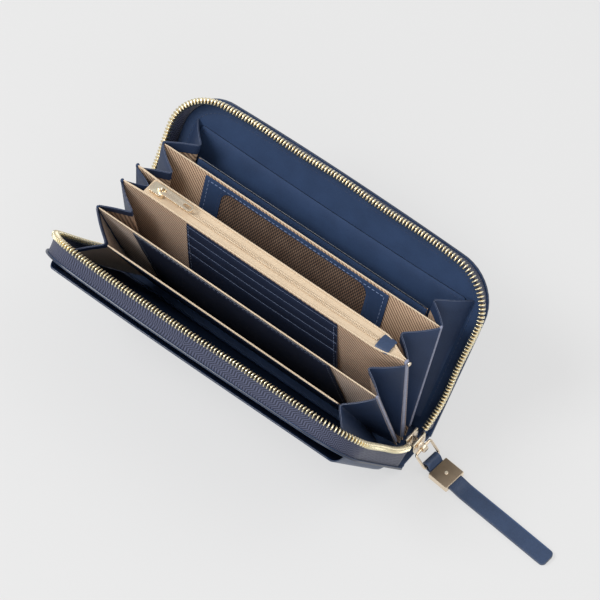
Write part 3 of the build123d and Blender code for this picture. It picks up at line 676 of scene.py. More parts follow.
for side in ("front", "back"):
    body = side + "_cover"
    place = cover_at(side)
    cover_layer(
        side + "_leather", side, 0.0, 0.6, -1.2, 0.05, [side + "_outer_leather", side + "_stiffener_board"],
        [navy, dark_edge], rim_index=1, bevel=0.4, segments=3,
    )
    cover_layer(
        side + "_inside", side, LINING_INSET, 1.6, 0.1, 1.2, [side + "_cover_lining"], [navy_soft, dark_edge],
        bevel=0.25,
    )

    # fold of the outer leather from the spine to the cover
    turn = TOWARD[side]
    fold_near, fold_far = [], []
    for x in spread(-99.2, 99.2, 30):
        near, far = [], []
        for up in (5.0, 3.4, 2.0, 0.9):
            near.append(place(x, up, 0.0))
            far.append(place(x, up, -1.32))
        bend_in, bend_out = place(x, 0.2, 0.0).y, place(x, 0.0, -1.3).y - turn * 0.1
        near += [Vector((x, y, z)) for y, z in ((bend_in, 1.15), (turn * 10.6, 1.2), (turn * 9.0, 1.22))]
        far += [Vector((x, y, z)) for y, z in ((bend_out, 0.55), (turn * 11.2, 0.06), (turn * 9.4, 0.02))]
        fold_near.append(near)
        fold_far.append(far)
    fold = slab(side + "_spine_fold", fold_near, fold_far, [navy], None, bevel=0.15)
    tuple(place(0, 3.2, -0.6) * MM)
    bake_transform(fold)

    # stitching round the inside, just within the zip
    line = [rim(run, 7.5, TAPE_FOOT)[:2] for run in spread(0.03, 0.97, 90)]
    stitches(side + "_cover_stitches", place, line, 1.2, body, navy_thread, 2.8, 1.9)

# card slots inside the front cover; their top rims and the rolls along them take a lighter colour, partly
# their own tone and partly painted highlight
place = cover_at("front")
for number, top in enumerate(SLOT_TOPS):
    word, lift, sag = str(number + 1), number * SLOT_STEP, 0.7
    panel(
        "front_slot_" + word, place, (-SLOT_HALF, SLOT_HALF), (PANEL_FOOT, top), 1.22 + lift, 0.36,
        "front_cover", ["front_card_slot_" + word], [navy_soft, slot_rim_tone_and_highlight], sag=sag, rim_index=1,
        bevel=0.08, radius=2.0,
    )
    xs = spread(1 - SLOT_HALF, SLOT_HALF - 1, 50)
    edge = [place(x, top - sag * (1 - (x / SLOT_HALF) ** 2), 1.55 + lift) for x in xs]
    tube("front_slot_edge_" + word, edge, 0.32, "front_cover", slot_roll_tone_and_highlight)
    stitches(
        "front_slot_stitches_" + word, place, [(2 - SLOT_HALF, top - 1.6), (SLOT_HALF - 2, top - 1.6)],
        1.6 + lift, "front_cover", navy_thread, 2.6, 1.7, 0.34,
    )

# slip pocket inside the back cover
panel(
    "back_pocket", cover_at("back"), (-BACK_POCKET_HALF, BACK_POCKET_HALF), (PANEL_FOOT, BACK_POCKET_TOP),
    1.22, 0.75, "back_cover", ["back_slip_pocket"], [navy_soft, dark_edge], sag=0.5, puff=0.25, rim_index=1,
    bevel=0.18, radius=2.0,
)
seam_x, seam_top = BACK_POCKET_HALF - 2, BACK_POCKET_TOP - 2.2
stitches(
    "back_pocket_top_stitches", cover_at("back"), [(-seam_x, seam_top), (seam_x, seam_top)], 1.98,
    "back_cover", navy_thread,
)
for end, word in ENDS:
    stitches(
        "back_pocket_side_stitches_" + word, cover_at("back"), [(end * seam_x, 10), (end * seam_x, 79)], 1.97,
        "back_cover", navy_thread,
    )

# slip pocket outside the front cover: its skin bends back to the cover at both ends and at the foot
place = cover_at("front")
bend, foot_bend = 4, 8
bend_x, corner_x = POCKET_HALF - bend, POCKET_HALF - POCKET_CORNER
near, far = [], []
for x in [*spread(-POCKET_HALF, -bend_x, 8), *spread(-87, 87, 26), *spread(bend_x, POCKET_HALF, 8)]:
    side_share = max(0.0, (abs(x) - bend_x) / bend)
    corner = max(0.0, abs(x) - corner_x)
    top = POCKET_TOP - 0.9 * (1 - (x / POCKET_HALF) ** 2)
    top -= POCKET_CORNER - sqrt(max(0.0, POCKET_CORNER**2 - corner**2))
    outer, inner = [], []
    for up in spread(POCKET_FOOT, top, 14):
        foot_share = max(0.0, (POCKET_FOOT + foot_bend - up) / foot_bend)
        stand = POCKET_GAP * sqrt(max(0.0, 1 - min(1.0, side_share**2 + foot_share**2)))
        outer.append(place(x, up, -1.3 - stand - 0.95))
        inner.append(place(x, up, -1.3 - stand))
    near.append(inner)
    far.append(outer)
slab(
    "front_pocket_skin", near, far, [navy, dark_edge], "front_cover", ["front_slip_pocket"], rim_index=1,
    bevel=0.3, segments=3,
)
stitches(
    "front_pocket_stitches", place, [(-88, 81.2), (88, 81.2)], -1.3 - POCKET_GAP - 1.05, "front_cover",
    navy_thread, 2.9, 2.0,
)


# ---------------------------------------------------------------- main zip
def chain_point(side, run, share):
    """A point across the zip tape, from its root (0) to its toothed edge (1), at run along the rim."""
    place = cover_at(side)
    x, up, out_x, out_up = rim(run, TAPE_INSET, TAPE_FOOT)
    reach = TAPE_END - TAPE_ROOT
    end_pull = max(0.0, 1 - (up - TAPE_FOOT) / 34.0) ** 2
    flare = (1.0 if side == "front" else 2.0) * share**1.6
    if side == "front":
        flare += 1.6 * share**2 * max(0.0, 1 - ((x + 45) / 60) ** 2) * max(0.0, out_up)
    inward = TAPE_ROOT + reach * share + 3.2 * end_pull * share**1.5 * (1 if x > 0 else 0.4)
    flare *= 1 - end_pull
    wave = 0.35 * share * sin(run * 41) * (1 - end_pull)
    return place(x + out_x * (flare + wave), up + out_up * (flare + wave), inward)


def tooth_shape():
    """One tooth in its own frame: x across the tape, y along the chain, z out from the tape's edge."""
    half_x, half_y = 1.85, 0.52
    levels = ((-0.7, 0.86, 0.9), (-0.3, 1, 1), (1.2, 1, 1), (1.75, 0.9, 0.86), (2.1, 0.6, 0.5))
    points = []
    for z, grow_x, grow_y in levels:
        for turn in around(12):
            cx, cy = cos(turn), sin(turn)
            power = (abs(cx) ** 4 + abs(cy) ** 4) ** 0.25
            points.append((half_x * grow_x * cx / power, half_y * grow_y * cy / power, z))
    return points, strand_faces(len(levels), 12)


for side in ("front", "back"):
    body = side + "_cover"
    near, far = [], []
    for run in spread(0.0, 1.0, 181):
        row = [chain_point(side, run, share) for share in spread(0, 1, 9)]
        ahead = chain_point(side, min(1, run + 0.003), 0.5) - chain_point(side, max(0, run - 0.003), 0.5)
        out = (row[-1] - row[0]).cross(ahead).normalized() * 0.3
        near.append([p + out for p in row])
        far.append([p - out for p in row])
    slab(side + "_tape", near, far, [tape_weave], body, [side + "_zip_tape"], bevel=0.1)

    shape, shape_faces = tooth_shape()
    points, faces = [], []
    length = rim_length(TAPE_INSET, TAPE_FOOT)
    first, pitch = 3.5 / length, TOOTH_PITCH / length
    count = int((1 - 2 * first) / pitch)
    stagger = 0.5 if side == "back" else 0.0
    for index in range(count):
        run = first + (index + stagger) * pitch
        tip, root = chain_point(side, run, 1.0), chain_point(side, run, 0.85)
        reach = (tip - root).normalized()
        ahead = (chain_point(side, run + 0.002, 1.0) - chain_point(side, run - 0.002, 1.0)).normalized()
        across = ahead.cross(reach).normalized()
        base = len(points)
        points += [tip + across * p[0] + ahead * p[1] + reach * (p[2] + 0.35) for p in shape]
        faces += [tuple(base + k for k in face) for face in shape_faces]
    add(side + "_teeth", points, faces, [gold_teeth], body, [side + "_zip_teeth"])

    # cord of the tape under the teeth
    cord_line = [chain_point(side, run, 1.0) for run in spread(0.004, 0.996, 220)]
    tube(side + "_tape_cord", cord_line, 0.55, body, tape_weave)

    # end stop: a small clamp at the closed end
    stop = chain_point(side, 0.995, 1.0)
    reach = (stop - chain_point(side, 0.995, 0.8)).normalized()
    up_way = (chain_point(side, 0.985, 1.0) - stop).normalized()
    across = up_way.cross(reach).normalized()
    points = [
        stop + reach * level + (across * 1.45 * cos(turn) + up_way * 1.7 * sin(turn)) * grow
        for level, grow in ((-0.9, 0.8), (-0.5, 1.0), (1.3, 1.0), (1.8, 0.75))
        for turn in around(12)
    ]
    add(side + "_stop", points, strand_faces(4, 12), [gold_bright], body, [side + "_zip_end_stop"])


# ---------------------------------------------------------------- spine
xs, ys = spread(-SPINE_LENGTH_HALF, SPINE_LENGTH_HALF, 30), spread(-SPINE_HALF, SPINE_HALF, 9)
near = [[Vector((x, y, SPINE_TOP)) for y in ys] for x in xs]
far = [[Vector((x, y, 0.0 if abs(y) < 9 else 0.25)) for y in ys] for x in xs]
slab("spine_skin", near, far, [navy], "spine", ["spine_leather"], bevel=0.3)
xs = spread(-SPINE_LINING_LENGTH_HALF, SPINE_LINING_LENGTH_HALF, 24)
ys = spread(-SPINE_LINING_HALF, SPINE_LINING_HALF, 7)
near = [[Vector((x, y, 2.0 - abs(y) * 0.02)) for y in ys] for x in xs]
far = [[Vector((x, y, SPINE_TOP + 0.02)) for y in ys] for x in xs]
slab("spine_inside", near, far, [navy_soft], "spine", ["spine_lining"], bevel=0.15)

# ---------------------------------------------------------------- walls and dividers
def wall_sheet(wall):
    """A wall's twill and the hem along its top; returns the wall's place function."""
    place = leaf_at(wall)
    panel(
        wall + "_twill", place, (-WALL_HALF, WALL_HALF), (1.0, WALL_HEIGHT - 0.4), -0.3, 0.6, wall,
        [wall + "_lining"], [twills[wall]], bevel=0.12, columns=40, rows=12,
    )
    hem = [place(x, WALL_HEIGHT - 0.4, 0.0) for x in spread(-WALL_HALF + 0.3, WALL_HALF - 0.3, 60)]
    tube(wall + "_hem", hem, 0.38, wall, cream, sides=10)
    return place


# front wall: a dark leather panel
place, (left, right), seam_top = wall_sheet("front_wall"), FRONT_PANEL, PANEL_TOP - 2.6
panel(
    "front_wall_leather", place, FRONT_PANEL, (PANEL_FOOT, PANEL_TOP), 0.32, 0.5, "front_wall",
    ["front_wall_panel"], [navy_card, dark_edge], rim_index=1, bevel=0.14, radius=0.8,
)
seam = [(left + 2.4, 8), (left + 2.4, seam_top), (right - 2.4, seam_top), (right - 2.4, 8)]
stitches("front_wall_stitches", place, seam, 0.82, "front_wall", navy_thread)


# rear wall: a leather frame round the mesh window
def rounded_loop(left, right, low, high, radius):
    """The outline of a rectangle with round corners, with as many points on each side as on any other."""
    side_steps, corner_steps = 10, 6
    centres = (
        (right - radius, low + radius, -90), (right - radius, high - radius, 0),
        (left + radius, high - radius, 90), (left + radius, low + radius, 180),
    )
    arcs = []
    for x, y, start in centres:
        turns = [radians(start + 90 * k / corner_steps) for k in range(corner_steps + 1)]
        arcs.append([Vector((x + radius * cos(t), y + radius * sin(t))) for t in turns])
    loop = []
    for index, arc in enumerate(arcs):
        after = arcs[(index + 1) % 4][0]
        loop += arc + [arc[-1].lerp(after, k / side_steps) for k in range(1, side_steps)]
    return loop


place = wall_sheet("rear_wall")
outer = rounded_loop(*REAR_PANEL, PANEL_FOOT, PANEL_TOP, 0.8)
inner = rounded_loop(*WINDOW, WINDOW_FOOT, WINDOW_TOP, WINDOW_CORNER)
count = len(outer)
points, faces, indices = [], [], []
for depth in (0.32, 0.84):
    for loop in (outer, [a.lerp(b, 0.5) for a, b in zip(outer, inner)], inner):
        points += [place(x, up, depth) for x, up in loop]
for k in range(count):
    n = (k + 1) % count
    for ring in (0, 1):
        low = ring * count
        faces.append((low + k, low + n, low + count + n, low + count + k))
        high = (3 + ring) * count
        faces.append((high + k, high + count + k, high + count + n, high + n))
        indices += [0, 0]
    faces.append((k, 3 * count + k, 3 * count + n, n))
    faces.append((2 * count + k, 2 * count + n, 5 * count + n, 5 * count + k))
    indices += [1, 1]
add(
    "rear_wall_leather", points, faces, [navy_soft, dark_edge], "rear_wall", ["rear_wall_panel"], indices,
    bevel=0.14,
)
seam_left, seam_right, seam_top = REAR_PANEL[0] + 2.6, REAR_PANEL[1] - 2.5, PANEL_TOP - 2.4
seam = [(seam_left, 8), (seam_left, seam_top), (seam_right, seam_top), (seam_right, 8)]
stitches("rear_wall_stitches", place, seam, 0.84, "rear_wall", blue_thread)
window = rounded_loop(-50.6, 47.6, 22.4, 77.9, 7.0)
stitches("rear_wall_window_stitches", place, window, 0.84, "rear_wall", navy_thread, 2.6, 1.7, 0.34, True)
panel(
    "rear_wall_mesh", place, (WINDOW[0] - 0.6, WINDOW[1] + 0.6), (WINDOW_FOOT - 0.8, WINDOW_TOP + 0.6),
    0.34, 0.18, "rear_wall", ["rear_wall_window_mesh"], [mesh_weave], bevel=0.0, radius=WINDOW_CORNER,
    ripple=0.08,
)

for divider, height in DIVIDER_HEIGHTS.items():
    place = leaf_at(divider)
    panel(
        divider + "_twill", place, (-DIVIDER_HALF, DIVIDER_HALF), (1.0, height - 0.3), -0.42, 0.4, divider,
        [divider + "_lining"], [twills[divider], cream], rim_index=1, bevel=0.08, columns=36, rows=12,
    )
    panel(
        divider + "_leather", place, (-DIVIDER_HALF, DIVIDER_HALF), (1.0, height - 0.8), 0.0, 0.42, divider,
        [divider + "_facing"], [navy_soft, dark_edge], rim_index=1, bevel=0.1, columns=36, rows=12,
    )
    hem = [place(x, height - 0.3, -0.05) for x in spread(-DIVIDER_HALF + 0.3, DIVIDER_HALF - 0.3, 50)]
    tube(divider + "_hem", hem, 0.5, divider, cream if divider == "front_divider" else dark_edge)
    stitches(
        divider + "_stitches", place, [(-DIVIDER_HALF + 2, height - 3), (DIVIDER_HALF - 2, height - 3)], 0.43,
        divider, navy_thread,
    )

# ---------------------------------------------------------------- gussets
EDGE = WALL_HALF + GUSSET_GAP + GUSSET_THICKNESS / 2
VALLEY = WALL_HALF - 14.5
INWARD = 1.2 + GUSSET_GAP + GUSSET_THICKNESS
DIVIDER_END = DIVIDER_HALF + GUSSET_GAP + GUSSET_THICKNESS


def coin_side(face, end, height):
    """The outside of the coin pocket's end at a height, in mm."""
    share = (height - COIN_FOOT) / (COIN_TOP - COIN_FOOT)
    toward = TOWARD[face]
    foot, clear = toward * COIN_FOOT_HALF, toward * 0.875
    top_y = COIN_LEFT[face] if end < 0 else COIN_RIGHT + toward * COIN_RIGHT_GAP
    return Vector((end * EDGE, foot + share * (top_y - foot) + clear, height))


def gusset_lines(kind, end):
    """The three lines of a V gusset, from its foot to its top: first edge, valley fold, last edge."""
    depth = 0.975

    def line(low, high):
        return lambda share: low.lerp(high, share)

    if kind in ("front", "back"):
        cover = cover_at(kind)
        wall = leaf_at("front_wall" if kind == "front" else "rear_wall")
        divider = leaf_at(kind + "_divider")
        height = DIVIDER_HEIGHTS["front_divider"] if kind == "front" else WALL_HEIGHT
        toward = 1 if kind == "front" else -1
        cover_x, valley_x, wall_x = end * COVER_GUSSET_X, end * DIVIDER_END, end * EDGE
        return (
            line(cover(cover_x, GUSSET_FOOT, INWARD), cover(cover_x, COVER_GUSSET_TOP, INWARD)),
            line(divider(valley_x, GUSSET_FOOT), divider(valley_x, height)),
            line(wall(wall_x, GUSSET_FOOT, toward * depth), wall(wall_x, WALL_HEIGHT, toward * depth)),
        )
    face = "front" if kind == "front_inner" else "rear"
    wall = leaf_at("front_wall" if kind == "front_inner" else "rear_wall")
    toward = -1 if kind == "front_inner" else 1
    low, high = (wall(end * EDGE, level, toward * depth) for level in (GUSSET_FOOT, WALL_HEIGHT))
    coin_low, coin_high = coin_side(face, end, low.z), coin_side(face, end, high.z)
    valley_low, valley_high = (low + coin_low) / 2, (high + coin_high) / 2
    valley_low.x = valley_high.x = end * VALLEY
    valley_high.z -= VALLEY_DROP
    return line(low, high), line(valley_low, valley_high), line(coin_low, coin_high)


def gusset_grid(kind, end, offset, low, high):
    """Points of a gusset's surface, moved towards the outside of the wallet by offset mm."""
    first, valley, last = gusset_lines(kind, end)
    grid = []
    shares = [*spread(0.0, 0.82, 8), 0.9, 0.96, 1.0, 1.04, 1.1, *spread(1.18, 2.0, 8)]
    for share in shares:
        column = []
        for level in spread(low, high, 12):
            a, v, b = first(level), valley(level), last(level)
            point = a.lerp(v, share) if share <= 1 else v.lerp(b, share - 1)
            near_fold = max(0.0, 1 - abs(share - 1) / 0.14)
            point = point + (((a + b) / 2) - v).normalized() * near_fold**2 * 0.9
            point.x += end * sin(pi * (share % 1.0)) * 0.9 * level
            way = (v - a).normalized() if share <= 1 else (b - v).normalized()
            out = way.cross(Vector((0, 0, 1)))
            if out.x * end < 0:
                out = -out
            column.append(point + out.normalized() * offset)
        grid.append(column)
    return grid


def gusset_piece(name, kind, end, inner, outer, materials, nodes=(), low=0.0, high=1.0, **options):
    """One layer of a gusset, between two offsets from its middle and two shares of its height."""
    near, far = (gusset_grid(kind, end, offset, low, high) for offset in (outer, inner))
    return slab(name, near, far, materials, None, nodes, **options)


# by kind: the body, the joint that folds it, the leaf behind its fabric, and how much of its depth is kept
FOLDS = {
    "front": ("front_divider", "front_divider_hinge", "front_divider", 0.2),
    "back": ("back_divider", "back_divider_hinge", "back_divider", 0.2),
    "front_inner": ("spine", "front_wall_hinge", "front_wall", 0.3),
    "rear_inner": ("spine", "rear_wall_hinge", "rear_wall", 0.3),
}
for kind, (body, joint, leaf, keep) in FOLDS.items():
    prefix = kind + "_gusset_"
    for end, word in ENDS:
        # the rims of the leather and facing layers are pale lavender: a painted highlight on the navy leather
        pieces = [
            gusset_piece(
                prefix + word + "_leather", kind, end, 0.02, 0.3, [navy_gusset, gusset_edge_highlight], [prefix + word],
                rim_index=1, bevel=0.08,
            ),
            gusset_piece(
                prefix + word + "_twill", kind, end, -0.24, 0.0, [twills[leaf]], high=0.985, bevel=0.05
            ),
            gusset_piece(
                prefix + word + "_facing", kind, end, -0.5, -0.26, [navy_gusset, gusset_edge_highlight], low=0.925,
                rim_index=1, bevel=0.06,
            ),
        ]
        for piece in pieces:
            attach(piece, body)
            if body != "spine":
                lean, fold_y, fold_z = LEAVES[leaf]
                a = radians(lean)
                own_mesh(piece)
            else:
                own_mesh(piece)


# bindings over the ends of the walls and of the coin pocket, each a little thicker at its top
def binding(name, low, high, body, material, half_x=0.6, half_y=0.8):
    """A rounded strip from low to high that closes over a wall's end."""
    way = (high - low).normalized()
    across = way.cross(Vector((1, 0, 0))).normalized()
    out = Vector((1, 0, 0))
    length = (high - low).length
    stations = [(0.0, 0.5), (0.5, 1.0), *[(d, 1.0) for d in spread(2.0, length - 1.6, 14)]]
    stations += [(length - 1.0, 1.12), (length - 0.2, 1.22), (length + 0.4, 1.0), (length + 0.75, 0.5)]
    points = [
        low + way * along + (out * half_x * cos(turn) + across * half_y * sin(turn)) * grow
        for along, grow in stations
        for turn in around(12)
    ]
    return add(name, points, strand_faces(len(stations), 12), [material], body)


# the bindings at the right end are pale lavender, a painted highlight; the same bindings at the left end are
# navy
for wall in ("front_wall", "rear_wall"):
    place = leaf_at(wall)
    for end, word in ENDS:
        binding(
            wall + "_binding_" + word, place(end * 90.5, 8.6), place(end * 90.5, WALL_HEIGHT), wall,
            binding_highlight if end > 0 else navy_gusset,
        )

# ---------------------------------------------------------------- coin pocket
def coin_y(face, x, share):
    """Where a coin pocket wall's middle runs, smooth between its ends."""
    toward = TOWARD[face]
    foot, long_y, bend_length = toward * COIN_FOOT_HALF, COIN_LONG[face], WALL_HALF - COIN_BEND
    end_y = COIN_LEFT[face] if x < 0 else COIN_RIGHT + toward * COIN_RIGHT_GAP
    bent = min(1.0, max(0.0, (abs(x) - COIN_BEND) / bend_length))
    top = long_y + (end_y - long_y) * bent * bent * (3 - 2 * bent)
    belly = toward * 0.35 * sin(pi * min(1.0, max(0.0, (x + WALL_HALF) / (2 * WALL_HALF)))) * sin(pi * share)
    return foot + share * (top - foot) + belly


def coin_z(share):
    return COIN_FOOT + share * (COIN_TOP - COIN_FOOT)


for face in ("front", "rear"):
    toward = TOWARD[face]
    near, far = (
        [
            [
                Vector((x, coin_y(face, x, max(share, COIN_FOOT_SHARE)) + offset, coin_z(share)))
                for share in spread(0, 1, 14)
            ]
            for x in spread(-WALL_HALF, WALL_HALF, 61)
        ]
        for offset in (toward * COIN_HALF_THICKNESS, -toward * COIN_HALF_THICKNESS)
    )
    slab(
        "coin_" + face + "_twill", near, far, [twill_coin, cream], "spine", ["coin_pocket_" + face + "_wall"],
        rim_index=1, bevel=0.12,
    )
    edge = [Vector((x, coin_y(face, x, 1.0), COIN_TOP + 0.15)) for x in spread(-89.5, 89.5, 70)]
    tube("coin_" + face + "_hem", edge, 0.55, "spine", cream)

binding_x, binding_top = WALL_HALF + 0.3, COIN_TOP - 0.1
for face in ("front", "rear"):
    toward = TOWARD[face]
    binding(
        "coin_binding_left_" + face, Vector((-binding_x, toward * 1.8, GUSSET_FOOT)),
        Vector((-binding_x, COIN_LEFT[face] + toward * 0.3, binding_top)), "spine", navy_gusset, 0.8, 0.95,
    )
# the right binding is pale lavender, a painted highlight; the left ones are navy
binding(
    "coin_binding_right", Vector((binding_x, 0.0, GUSSET_FOOT)), Vector((binding_x, COIN_RIGHT, binding_top)),
    "spine", binding_highlight, 0.8, 1.35,
)

near, far = [], []
for x in spread(-77.5, 88.6, 64):
    front_y, rear_y = coin_y("front", x, 1.0) + 0.25, coin_y("rear", x, 1.0) - 0.25
    middle, half = (front_y + rear_y) / 2, max(0.1, (rear_y - front_y) / 2)
    ys = spread(front_y, rear_y, 11)
    row = [(y, COIN_TOP - 0.35 - 0.25 * (1 - ((y - middle) / half) ** 2)) for y in ys]
    near.append([Vector((x, y, z + 0.3)) for y, z in row])
    far.append([Vector((x, y, z - 0.3)) for y, z in row])
slab("coin_tape", near, far, [cream_tape], "spine", ["coin_zip_tape"], bevel=0.08)

coil_low, coil_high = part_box("coin_zip_coil")
coil_y, coil_z = (coil_low.y + coil_high.y) / 2 / MM, coil_low.z / MM
points, faces = [], []
x = coil_low.x / MM + 0.6
while x < coil_high.x / MM - 0.6:
    for side_y in (-0.55, 0.55):
        base = len(points)
        for ring, grow in ((-0.42, 0.55), (-0.2, 1.0), (0.2, 1.0), (0.42, 0.55)):
            for turn in around(8):
                points.append(Vector((
                    x + ring + (0.45 if side_y > 0 else 0.0), coil_y + side_y + cos(turn) * 0.62 * grow,
                    coil_z + 0.25 + sin(turn) * 0.42 * grow,
                )))
        faces += strand_faces(4, 8, base)
    x += 0.95
add("coin_coil", points, faces, [cream], "spine", ["coin_zip_coil"])

# leather tab over the end of the coin zip
tab_low, tab_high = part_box("coin_zip_end_tab")
near, far = [], []
for share in spread(0, 1, 12):
    x = tab_low.lerp(tab_high, share).x / MM
    half = (tab_high.y - tab_low.y) / 2 / MM * (1 - 0.1 * (2 * share - 1) ** 6) * 1.13
    middle = (tab_high.y + tab_low.y) / 2 / MM
    for row, height, drop in ((near, 1.15, 0.75), (far, -0.05, 0.35)):
        row.append([
            Vector((x, middle + y * half, COIN_TOP + height - drop * abs(y) ** 3)) for y in spread(-1, 1, 9)
        ])
slab("coin_tab", near, far, [strap_leather], "spine", ["coin_zip_end_tab"], bevel=0.25)

# fold between the pocket's walls at its open end, its rims pale lavender as a painted highlight
near, far = [], []
for share in spread(0, 2, 13):
    column_near, column_far = [], []
    for level in spread(0.25, 0.99, 9):
        front_y, rear_y = coin_y("front", -WALL_HALF, level) + 0.6, coin_y("rear", -WALL_HALF, level) - 0.6
        x = END_FOLD_DEPTH * (1 - abs(share - 1) ** 1.3) - WALL_HALF
        y = front_y + (rear_y - front_y) * share / 2
        column_near.append(Vector((x, y, coin_z(level))))
        column_far.append(Vector((x + 0.4, y, coin_z(level))))
    near.append(column_near)
    far.append(column_far)
slab(
    "coin_end_fold", near, far, [navy_gusset, gusset_edge_highlight], "spine", ["coin_pocket_end_fold"], rim_index=1,
    bevel=0.08,
)

# card slots on the front of the coin pocket, their top rims a lighter colour that is partly their own tone
# and partly painted highlight
def card_at(x, up, depth=0.0):
    """The coin pocket's place function: x, up its front wall, and depth in front of it, in mm."""
    share = up / (COIN_TOP - COIN_FOOT)
    return Vector((x, coin_y("front", x, share) - COIN_HALF_THICKNESS - 0.02 - depth, COIN_FOOT + up))


panel(
    "card_backing", card_at, CARD_ENDS, (CARD_FOOT, 80.2), 0.0, 0.2, "spine", ["card_panel_backing"],
    [navy_card, dark_edge], rim_index=1, bevel=0.05, radius=0.6,
)
for number, top in enumerate(CARD_TOPS):
    word = str(number + 1)
    panel(
        "card_pocket_" + word, card_at, CARD_ENDS, (CARD_FOOT, top), 0.22 + number * 0.2, 0.2, "spine",
        ["card_slot_" + word], [navy_card, slot_rim_tone_and_highlight], sag=0.8, rim_index=1, bevel=0.05, radius=0.8,
    )
for end, word in ENDS:
    x = CARD_ENDS[end > 0] - end * 1.7
    seam = [(x, CARD_FOOT + 2), (x, CARD_TOPS[0])]
    stitches("card_" + word + "_stitches", card_at, seam, 1.05, "spine", blue_thread, 2.6, 1.7, 0.34)

# ---------------------------------------------------------------- metal
refined("coin_pocket_rivet", 0.1, gold_bright, "spine")
refined("coin_slider", 0.3, gold_bright, "coin_slider")
refined("coin_pull", 0.22, gold_bright, "coin_pull")
refined("main_slider", 0.35, gold_bright, "zip_slider")
refined("strap_clasp", 0.4, gold_bright, "strap", 3, extra=gold_brushed)
refined("clasp_stud", 0.1, gold_bright, "strap")
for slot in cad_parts["main_slider_bail"].material_slots:
    slot.material = gold_bright

# ---------------------------------------------------------------- strap
yaw, drop = radians(STRAP_YAW), radians(BAIL_DROP)
strap_x, strap_y = Vector((cos(yaw), sin(yaw), 0)), Vector((-sin(yaw), cos(yaw), 0))
lug_x = CHAIN_X + SLIDER_HALF_GAP + SLIDER_PLATE + LUG_REACH
bail_x, bail_z = lug_x + BAIL_LENGTH * cos(drop), LUG_HEIGHT - BAIL_LENGTH * sin(drop)
clasp_start = LOOP_OUTER + LOOP_NECK
exit_x = clasp_start + CLASP_GAP + CLASP_LENGTH
strap_end = exit_x + STRAP_LENGTH


def strap_point(along, across, z):
    """A point so far along the strap from the bail's far bar, across it and above the floor, in mm."""
    return Vector((bail_x, 0, z)) + strap_x * along + strap_y * across


round_start = strap_end - STRAP_ROUND
stations = [*spread(exit_x - 6.0, exit_x + 12, 14), *spread(exit_x + 15, strap_end - 5, 22)]
stations += [round_start + STRAP_ROUND * sin(t) for t in spread(0, pi / 2, 8)[1:]]
near, far = [], []
for along in stations:
    fall = min(1.0, max(0.0, (along - exit_x - 0.5) / 7.0))
    fall = fall * fall * (3 - 2 * fall)
    mid = 2.1 + (1.1 - 2.1) * fall
    beyond = max(0.0, along - round_start)
    half = STRAP_HALF - STRAP_ROUND + sqrt(max(0.0, STRAP_ROUND**2 - beyond**2))
    ripple = 0.25 * (1 - cos((along - exit_x) / STRAP_LENGTH * 2 * pi)) * fall
    tops, lows = [], []
    for across in spread(-1, 1, 9):
        crown = 0.22 * (1 - across**2)
        tops.append(strap_point(along, across * half, mid + 0.85 + crown + ripple * 0.4))
        lows.append(strap_point(along, across * half, max(0.02, mid - 1.05 + ripple * 0.25)))
    near.append(tops)
    far.append(lows)
slab(
    "strap_leather", near, far, [strap_leather, dark_edge], "strap", ["pull_strap"], rim_index=1, bevel=0.35,
    segments=3,
)


def loop_section(radius, top_z, low_z):
    """One face of the loop, from inside the clasp round the bail and back: distance from the bail, height."""
    tail = clasp_start + 5.0
    turns = [radians(turn) for turn in spread(40, 250, 15)]
    bend = [(radius * cos(a), bail_z + radius * sin(a)) for a in turns]
    return [(tail, top_z), (clasp_start, top_z), *bend, (clasp_start, low_z), (tail, low_z)]


near, far = (
    [[strap_point(along, across, z) for along, z in section] for across in spread(-STRAP_HALF, STRAP_HALF, 9)]
    for section in (loop_section(LOOP_OUTER, 3.15, 1.05), loop_section(LOOP_INNER, 2.15, 2.0))
)
slab("loop_leather", near, far, [strap_leather, dark_edge], "strap", ["strap_loop"], bevel=0.2)

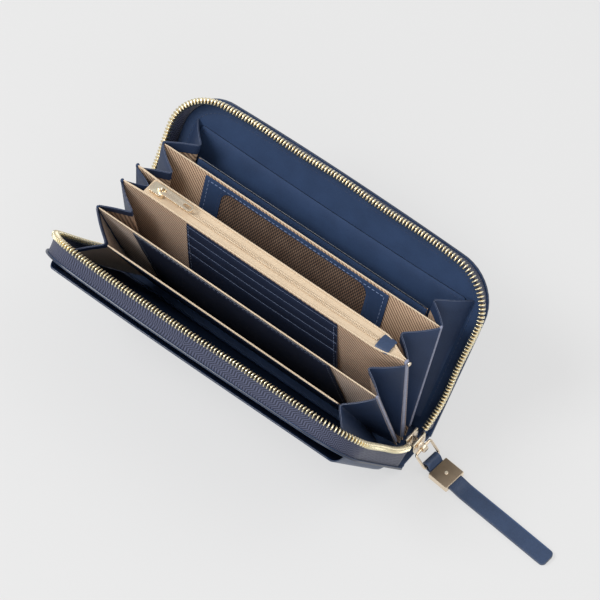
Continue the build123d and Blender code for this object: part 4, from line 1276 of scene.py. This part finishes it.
# ---------------------------------------------------------------- floor, light and camera
floor_mesh = bpy.data.meshes.new("floor")
floor_mesh.from_pydata([(-6, -6, 0), (6, -6, 0), (6, 6, 0), (-6, 6, 0)], [], [(0, 1, 2, 3)])
floor = put("floor", floor_mesh)
floor_paint = Paint("pale floor", (0.2, 0.2, 0.2), 0.9)
floor_paint.bsdf.inputs["Specular IOR Level"].default_value = 0.0
floor_paint.bsdf.inputs["Emission Color"].default_value = (1, 1, 1, 1)
floor_paint.bsdf.inputs["Emission Strength"].default_value = 0.585
floor_mesh.materials.append(floor_paint.mat)
floor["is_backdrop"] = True

world = bpy.data.worlds.new("studio")
bpy.context.scene.world = world
world.use_nodes = True
world.node_tree.nodes["Background"].inputs["Color"].default_value = (1, 1, 1, 1)
world.node_tree.nodes["Background"].inputs["Strength"].default_value = 0.5
bpy.context.scene.view_settings.view_transform = "Standard"


def light(name, place, aim, size, power):
    data = bpy.data.lights.new(name, "AREA")
    data.shape = "SQUARE"
    data.size = size
    data.energy = power
    lamp = put(name, data)
    lamp.location = place
    lamp.rotation_euler = (Vector(aim) - Vector(place)).to_track_quat("-Z", "Y").to_euler()


light("key light", (-1.0, -0.8, 1.6), (0, 0, 0.05), 0.9, 26)
light("fill light", (0.9, 0.7, 1.7), (0, 0, 0.05), 1.4, 8)
light("side light", (1.1, -1.0, 1.0), (0.08, 0.03, 0.04), 1.0, 7)

# the camera that was fitted to the picture: angles, then distance and shift in mm
azimuth, elevation, roll = radians(38.1), radians(57.56), radians(0.51)
distance, shift_side, shift_up = 1503.7, 17.91, 27.38
back = Vector((sin(azimuth) * cos(elevation), -cos(azimuth) * cos(elevation), sin(elevation)))
right = Vector((cos(azimuth), sin(azimuth), 0))
up = back.cross(right)
side_way, up_way = right * cos(roll) + up * sin(roll), up * cos(roll) - right * sin(roll)
camera_data = bpy.data.cameras.new("camera")
camera_data.lens = 170.22
camera_data.sensor_width = 36
camera_data.clip_end = 20
camera = put("camera", camera_data)
rotation = camera.matrix_world.to_3x3()
for index, axis in enumerate((side_way, up_way, back)):
    rotation.col[index] = axis
camera.matrix_world = rotation.to_4x4()
camera.location = (back * distance + side_way * shift_side + up_way * shift_up) * MM
bpy.context.scene.camera = camera

boxes = [[list(corner) for corner in box] for box in (cad_box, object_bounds())]
